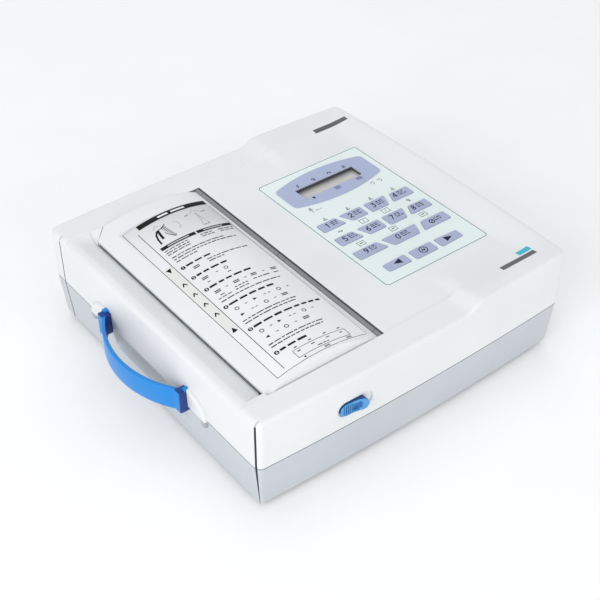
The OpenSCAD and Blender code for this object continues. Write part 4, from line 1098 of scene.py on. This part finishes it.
def label_marks():
    black, fine, soft, white = [], [], [], []
    lines = line([(-108.5, 92.4), (-110.6, -112.6), (-31.8, -112.9)], 0.42)
    lines += line([(-99.7, 83), (-102.2, -109)], 0.5) + line([(-28.9, 88), (-30.9, -112.8)], 0.25)
    soft += line([(-108.4, 92.4), (-97, 92.9)], 0.3)
    bottom = [(-96 + 67 * k / 20, 86.7 + 2.3 * k / 20) for k in range(21)]
    upper = [(-96 + 67 * k / 20, 92.4 + 2.4 * k / 20) for k in range(21)]
    black += [[bottom[k], bottom[k + 1], upper[k + 1], upper[k]] for k in range(20)]
    white += bar(-76.5, 90.2, -66.5, 90.6, 2.0) + bar(-63.5, 90.7, -50, 91.2, 2.0)
    # drawing of the open lid and the folded chart
    black += line([(-92, 60.5), (-91.4, 66), (-90, 71), (-87.5, 74.5)], 1.5)
    black += line([(-87.4, 65), (-86.8, 70), (-85.8, 75.5)], 2.1)
    black += line([(-88, 75), (-82, 76.5), (-77, 79.5)], 0.7)
    black += line([(-82.6, 70), (-81, 66), (-78, 61.5), (-76.4, 62.6)], 0.6)
    for i in range(9):
        black += bar(-82.6 + 0.45 * i, 76.0 - 1.6 * i, -78.2 + 0.22 * i, 77.2 - 1.75 * i, 0.6)
    soft += line([(-70, 78), (-67, 75), (-67.5, 70), (-70, 67.5)], 0.35)
    soft += line([(-88, 78), (-85, 82), (-82, 80)], 0.35)
    soft += bar(-58, 78.6, -54.2, 79.6, 1.1) + bar(-42, 79.4, -37, 80.4, 1.1)
    soft += line([(-52, 80), (-47.5, 84.5), (-43, 80.6)], 0.3)
    soft += line([(-47.8, 79), (-48.6, 68), (-51, 62)], 0.4) + line([(-47.2, 79), (-45.8, 68), (-44, 63)], 0.4)
    soft += bar(-51, 61.2, -44, 62.4, 0.9)
    black += bar(-96.3, 54.7, -63.8, 54.9, 3.7) + bar(-62.3, 54.9, -29.8, 55.1, 3.7)
    white += bar(-90, 54.8, -70, 54.8, 0.8) + bar(-56, 55, -38, 55, 0.8)
    small_rows = (
        (50.6, -96, -73, -62, -49, -45, -31), (47.9, -96, -74, -62, -50, -44.5, -32), (45.3, -96, -75),
        (40.6, -95.5, -47), (37.6, -95.5, -37), (34.4, -95.5, -75), (21.2, -76, -38), (18.4, -76, -62),
        (-0.8, -91, -86.5, -72.5, -68.5), (-19.0, -92, -86, -79, -67, -62, -46, -43, -37),
        (-21.8, -95.5, -84, -80, -68), (-25.6, -96, -42), (-52.8, -96.5, -48), (-55.8, -96.5, -50),
        (-84.5, -97, -49), (-87.6, -97, -51))
    for y, *ends in small_rows:
        for a, b in zip(ends[::2], ends[1::2]):
            fine += words(a, b, y, 1.35)
    heads = ((25.5, -68), (10.8, -62), (-6.8, -55), (-32, -53), (-62.7, -34), (-94, -69))
    for k, (y, end) in enumerate(heads):
        x = -95.5 - 0.35 * k
        black += disc(x, y, 1.9)
        white += digit(str(k + 1), x, y, 1.45, 0.4)
        black += words(x + 3, end, y + 0.2, 2.7, 3.0)
    # keys to press, in order, with arrows between them
    steps = ((19.5, "keys", -87), (4.5, "keys", -89.5, "to", -79, "round", -70.5),
             (-14.0, "keys", -91, "to", -83, "keys", -74, "to", -66, "keys", -58, "to", -49, "keys", -39.5),
             (-38.7, "round", -91.5, "to", -83.5, "right", -75.2, "to", -66.5, "to", -62.5, "round", -53.5, "to",
              -45.5),
             (-46.3, "right", -91.8, "to", -83, "to", -79.5, "round", -70.5, "to", -62.5, "keys", -53.5),
             (-69.5, "round", -92, "to", -84, "right", -76.2, "to", -67, "to", -63, "round", -54, "to", -46.3),
             (-77.2, "left", -92.5, "to", -84, "round", -75.8, "to", -67.5, "keys", -58))
    for y, *row in steps:
        for kind, x in zip(row[::2], row[1::2]):
            if kind == "keys":
                fine += bar(x - 2.6, y + 0.9, x + 2.8, y + 0.9, 1.0) + bar(x - 2.9, y - 0.8, x + 2.2, y - 0.8, 1.0)
            elif kind == "to":
                fine += bar(x - 1.1, y, x + 0.6, y, 0.45) + triangle(x + 0.8, y, 0.75, "right")
            elif kind == "round":
                fine += ring(x, y, 1.5, 0.6)
            else:
                black += triangle(x, y, 1.8, kind)
    # drawing of the display
    fine += line([(-88.5, -100.6), (-43.0, -100.9), (-43.2, -108.6), (-88.8, -108.6)], 0.4, True)
    fine += words(-86, -83, -103, 1.2) + words(-74, -71, -103, 1.2) + words(-61, -58, -103.2, 1.0)
    fine += words(-49, -45, -103.4, 1.2) + words(-71, -61, -106.7, 1.2)
    for x in (-84.5, -71.8, -58.8, -46.2):
        fine += bar(x - 1.4, -98.6, x + 1.2, -98.4, 0.9)
    black += triangle(-84.8, -110.6, 1.3, "down")
    soft += bar(-68, -110.6, -63.4, -110.6, 1.9) + bar(-48.6, -110.6, -44, -110.6, 1.9)
    # pressing strip down the left edge
    black += triangle(-104.7, 30.4, 2.9, "down") + triangle(-105.5, -54.2, 2.9, "up")
    for y in (10, -4.2, -18.3, -32.5):
        x = -105.0 - (10 - y) * 0.012
        black += line([(x - 1.5, y - 1.4), (x, y + 1.4), (x + 1.5, y - 1.4)], 1.0)
    strip = []
    for y in range(33, -55, -4):
        for s in range(4):
            quad = []
            for at, end in ((s, y), (s, y - 4), (s + 1, y - 4), (s + 1, y)):
                left, right = -109.0 - (33 - end) * 0.0105, -100.5 - (33 - end) * 0.0125
                quad.append((left + (right - left) * at / 4, end))
            strip.append(quad)
    ink("label_press_strip", strip, on_label, STRIP, "door", lift=0.02)
    ink("label_lines", lines, on_label, INK_MID, "door", lift=0.05)
    ink("label_print", tilt(black), on_label, INK, "door", lift=0.05)
    ink("label_small_print", tilt(fine), on_label, INK_MID, "door", lift=0.05)
    ink("label_faint_print", tilt(soft), on_label, INK_GREY, "door", lift=0.05)
    ink("label_reversed_print", tilt(white), on_label, LABEL, "door", lift=0.09)


label_marks()

# Keypad ----------------------------------------------------------------------

# name, place of the digit, outline
KEY_TABLE = [
    ("key_1", (28, 4.7), [(21, -0.5), (43, -0.5), (39, 10), (21, 10)]),
    ("key_2", (51.5, 4.5), [(50, -1.5), (65.5, -1.5), (65.5, 10), (44.5, 10)]),
    ("key_3", (75.3, 4.2), [(70, -2), (87, -2), (91.5, 10), (70, 10)]),
    ("key_4", (98.4, 4.2), [(93, -1.5), (115, -1.5), (115, 9), (97, 9)]),
    ("key_5", (27.8, -17.3), [(21, -22.8), (42.5, -22.8), (38.5, -12.3), (21, -12.3)]),
    ("key_6", (51, -17.9), [(49, -24), (65.5, -24), (65.5, -12.5), (44.5, -12.5)]),
    ("key_7", (75.9, -17.9), [(70, -24.3), (87, -24.3), (91.5, -12.5), (70, -12.5)]),
    ("key_8", (98.8, -18.3), [(92.5, -24), (115, -24), (115, -13.8), (97, -13.8)]),
    ("key_9", (30.8, -39.4), [(21, -45), (49, -45), (44.5, -34.8), (21, -34.8)]),
    ("key_0", (62.6, -40.4), [(54.5, -46.7), (80.5, -46.7), (85, -35.2), (50.5, -35.2)]),
    ("key_function", None, [(86.5, -46.5), (114.5, -46.5), (114.5, -36), (91, -36)]),
    ("key_left", None, [(29, -69.5), (51, -70), (51, -60), (29, -61)]),
    ("key_record", None, [(56, -70.8), (78, -70.8), (78, -60.2), (56, -60.2)]),
    ("key_right", None, [(82.5, -70.8), (105, -70), (105, -61.5), (82.5, -60.5)]),
]


def grown(pts, g):
    out = []
    n = len(pts)
    for i in range(n):
        a, b, c = Vector(pts[i - 1]), Vector(pts[i]), Vector(pts[(i + 1) % n])
        u, v = (b - a).normalized(), (c - b).normalized()
        s = u.x * v.y - u.y * v.x
        q = b + (u - v) * (g / s)
        out.append((q.x, q.y))
    return out


def rounded(pts, r, steps=5, only=None):
    """Outline with its corners, or only some of them, turned into curves."""
    out = []
    n = len(pts)
    for i in range(n):
        if only and i not in only:
            out.append(pts[i])
            continue
        a, b, c = Vector(pts[i - 1]), Vector(pts[i]), Vector(pts[(i + 1) % n])
        u, v = (a - b).normalized(), (c - b).normalized()
        for k in range(steps + 1):
            w = k / steps
            q = b + r * (u * (1 - w) ** 2 + v * w * w)
            out.append((q.x, q.y))
    return out


FILM_TOP, BEZEL_TOP, KEY_TOP = 88.0, 88.5, 88.9


def flat(z):
    return lambda x, y: z


def keypad():
    film = rounded(rect(15.5, -82, 122, 83), 2.5)
    window = rect(*WINDOW)
    holes = [rounded(grown(pts, 0.3), 1.7) for _, _, pts in KEY_TABLE]
    plate("keypad_film", [film, window] + holes, 87.62, FILM_TOP, 0.06, FILM, stands_for=("keypad_overlay",),
          slot="panel_film", sharp=30)
    oval = []
    for s in (-1, 1):
        for i in range(-12, 13):
            x = s * i * 46 / 12
            oval.append((69.2 - x, 54 + s * (21.8 - 7.8 * (x / 46) ** 2)))
    surround = rounded(oval, 3.6, 6, only=(0, 24, 25, 49))
    plate("display_surround", [surround, window], FILM_TOP, BEZEL_TOP, 0.1, BEZEL,
          stands_for=("display_bezel",), slot="lavender", sharp=30)
    x0, y0, x1, y1 = WINDOW
    well = rect(x0 - 1.6, y0 - 1.6, x1 + 1.6, y1 + 1.6)
    # walls of the window recess, dark grey as painted shade
    plate("display_well", [well, window], 85.12, 87.58, 0.05, WELL_SHADE, slot="dark_plastic")
    for name, _, shape in KEY_TABLE:
        plate(name + "_cap", [rounded(shape, 1.6)], 81.6, KEY_TOP, 0.55, KEYS, name, stands_for=(name,),
              slot="lavender", sharp=25)
    dark = []
    outline = line(rounded(rect(16.3, -81.2, 121.2, 82.2), 3.2), 0.55, True)
    for x, y, kind in ((32.6, 14.2, 0), (56.5, 14.5, 0), (80.3, 14, 0), (104, 13.6, 0), (32.4, -6.3, 3),
                       (103.6, -7.2, 2)):
        dark += icon(x, y, kind)
    for x in (56.1, 79.5):
        dark += frame_line(x - 3.4, -9.2, x + 3.4, -4.2, 0.5) + bar(x - 0.2, -8, x - 0.2, -5.2, 0.5)
    for x, y in ((35.1, -28.6), (67.8, -29.2), (99.9, -29.2)):
        dark += frame_line(x - 3.2, y - 2.4, x + 3.2, y + 2.3, 0.5) + bar(x - 1.6, y, x + 1.6, y + 0.3, 0.9)
    pale = line([(30.5, 30), (32, 33.6), (33.4, 30)], 0.8) + bar(32, 26.8, 32, 32.6, 0.7) + words(34.5, 42, 28.0,
        1.1)
    pale += line([(95, 30.5), (98.6, 31.8)], 0.8) + bar(97, 27.5, 98.4, 30.4, 0.8)
    pale += line([(102.4, 31), (105.6, 31.4), (106.4, 29.6), (105, 28)], 0.7)
    ink("keypad_outline", outline, flat(FILM_TOP), INK_GREEN)
    ink("keypad_icons", dark, flat(FILM_TOP), INK_GREEN)
    ink("keypad_pale_marks", pale, flat(FILM_TOP), INK_GREY)
    over = icon(44, 64, 1) + icon(60.5, 64, 2) + icon(77.4, 64, 3) + icon(93, 64, 0) + triangle(44.6, 42.4, 2.0,
        "down")
    ink("display_icons", over, flat(BEZEL_TOP), INK_BLUE)
    patches = bar(66.3, 42.3, 72.4, 42.3, 4.2) + bar(89.6, 42, 95.3, 42, 4.2)
    ink("display_patches", patches, flat(BEZEL_TOP), INK_PATCH)


def icon(x, y, kind):
    """Small generic symbol: a stroke with two short bars."""
    if kind == 0:
        return bar(x - 1.8, y - 1.4, x + 1.8, y - 1.4, 0.8) + bar(x - 1.1, y, x + 1.3, y + 0.2, 0.8) + bar(x - 0.4,
            y + 1.5, x + 0.7, y + 1.6, 0.8)
    if kind == 1:
        return line([(x + 0.9, y + 2), (x - 0.6, y + 0.3), (x + 0.6, y - 0.2), (x - 0.9, y - 2)], 0.8)
    if kind == 2:
        return ring(x, y + 0.5, 1.1, 0.6) + bar(x, y - 2, x + 1.5, y - 0.6, 0.8)
    return line([(x - 2, y - 0.4), (x - 0.7, y + 1), (x + 0.6, y - 0.8), (x + 2, y + 0.4)], 0.8)


keypad()


def key_marks():
    for name, place, _ in KEY_TABLE:
        dark, fine = [], []
        if place:
            x, y = place
            dark += digit(name[-1], x, y, 3.6, 0.85, 0.12)
            for a, b, dy, h in ((4.2, 11.2, 2.2, 1.25), (4.0, 10.6, 0.3, 1.1), (4.0, 11.4, -1.8, 1.25)):
                fine += words(x + a, x + b, y + dy, h, 3.4)
        elif name == "key_function":
            dark += ring(98, -41.6, 2.2, 0.8) + bar(96.6, -43.0, 99.6, -40.2, 0.7)
            fine += words(101.5, 108, -39.6, 1.25, 3.4) + words(101, 108.5, -42.2, 1.25, 3.4)
        elif name == "key_record":
            dark += ring(67, -65.4, 3.5, 0.75)
            dark += line([(65.4, -66.6), (66.4, -64.0), (67.4, -66.8), (68.6, -64.2)], 0.7)
        elif name == "key_left":
            dark += triangle(40.9, -64.9, 4.1, "left")
        elif name == "key_right":
            dark += triangle(93.0, -65.7, 4.1, "right")
        ink(name + "_marks", dark, flat(KEY_TOP), INK_BLUE, name)
        if fine:
            ink(name + "_fine_marks", fine, flat(KEY_TOP), INK_BLUE, name)


key_marks()


def skin_z(x, y):
    """Height of the finished skin at a point of the plan, with the bow of the front and back undone."""
    v = y
    for _ in range(4):
        v = y - copysign(1, y) * bow(x) * ease((abs(v) - 121) / 12)
    return top(x, v)


def blank(name, x, y, dx, dy, nx, mat):
    """Blank plate where a name would be, in cells that follow the skin."""
    cells = [rect(x + dx * i, y + dy * j, x + dx * (i + 1), y + dy * (j + 1)) for i in range(nx) for j in range(3)]
    ink(name, cells, skin_z, mat, lift=0.1, depth=0.3)


blank("front_nameplate_blank", 93, -126, 4, 1.6, 9, NAMEPLATE)
blank("front_badge_blank", 117, -119.6, 3.2, 1.7, 4, CYAN)
blank("rear_nameplate_blank", 104, 114.6, 4, 1.6, 9, NAMEPLATE)


# Ports ----------------------------------------------------------------------

def port_face(name, width, count, place):
    """Insulator and two rows of sockets in a D shell. place() takes width, height and depth."""
    def prism(pts, levels):
        n = len(pts)
        cx, cz = sum(p[0] for p in pts) / n, sum(p[1] for p in pts) / n
        verts = []
        for depth, inset in levels:
            for x, z in pts:
                k = 1 - inset / hypot(x - cx, z - cz)
                verts.append(place(cx + (x - cx) * k, cz + (z - cz) * k, depth))
        return verts, bands(len(levels), n) + [tuple(range(len(verts) - n, len(verts)))]

    low, high = width / 2 - 3, width / 2 - 2.2
    outline, rims, bores = [], [], []
    for x, z, start in ((-low, -2, 180), (low, -2, 270), (high, 2, 0), (-high, 2, 90)):
        outline += arc(x, z, 1, start, start + 90, 5)
    for z, number in ((1.42, count), (-1.42, count - 1)):
        for i in range(number):
            x = (i - (number - 1) / 2) * 2.76
            rims.append(prism(circle(x, z, 0.8, 16), [(0.2, 0), (0.5, 0), (0.56, 0.1)]))
            bores.append(prism(circle(x, z, 0.45, 12), [(0.2, 0), (0.58, 0)]))
    insulator = prism(outline, [(-0.2, 0), (0.25, 0), (0.4, 0.2)])
    piece(name + "_insulator", *insulator, BLACK, slot="dark_plastic", sharp=40)
    piece(name + "_contacts", *merge(*rims), BRASS, slot="brass", sharp=40)
    piece(name + "_contact_bores", *merge(*bores), BLACK, slot="dark_plastic", sharp=40)


port_face("serial_port", 14.9, 5, lambda a, b, c: (-10 - a, 141 + c, 24 + b))
port_face("patient_port", 23.4, 8, lambda a, b, c: (147.5 + c, -29 + a, 24 + b))

PLAIN = {
    "steel": STEEL, "aluminium": ALU, "brass": BRASS, "rubber": RUBBER, "dark_plastic": BLACK, "grey_plastic": MID,
    "gear_plastic": ACETAL, "circuit_board": PCB, "ceramic": CERAMIC, "cell_sleeve": SLEEVE, "paper": PAPER,
    "silicone": SILICONE, "cardboard": CARD, "shell_white": WHITE, "shell_grey": GREY, "handle_blue": BLUE,
    "latch_blue": LATCH, "panel_film": FILM, "lavender": KEYS, "window": LCD, "label_film": LABEL, "display": LCD}
for n, ob in frame["nodes"].items():
    s = next(p["material_slot"] for p in frame["record"]["subparts"] if p["node"] == n)
    ob.data.materials.clear()
    ob.data.materials.append(PLAIN[s])
    ob.data.polygons.foreach_set("material_index", [0] * len(ob.data.polygons))
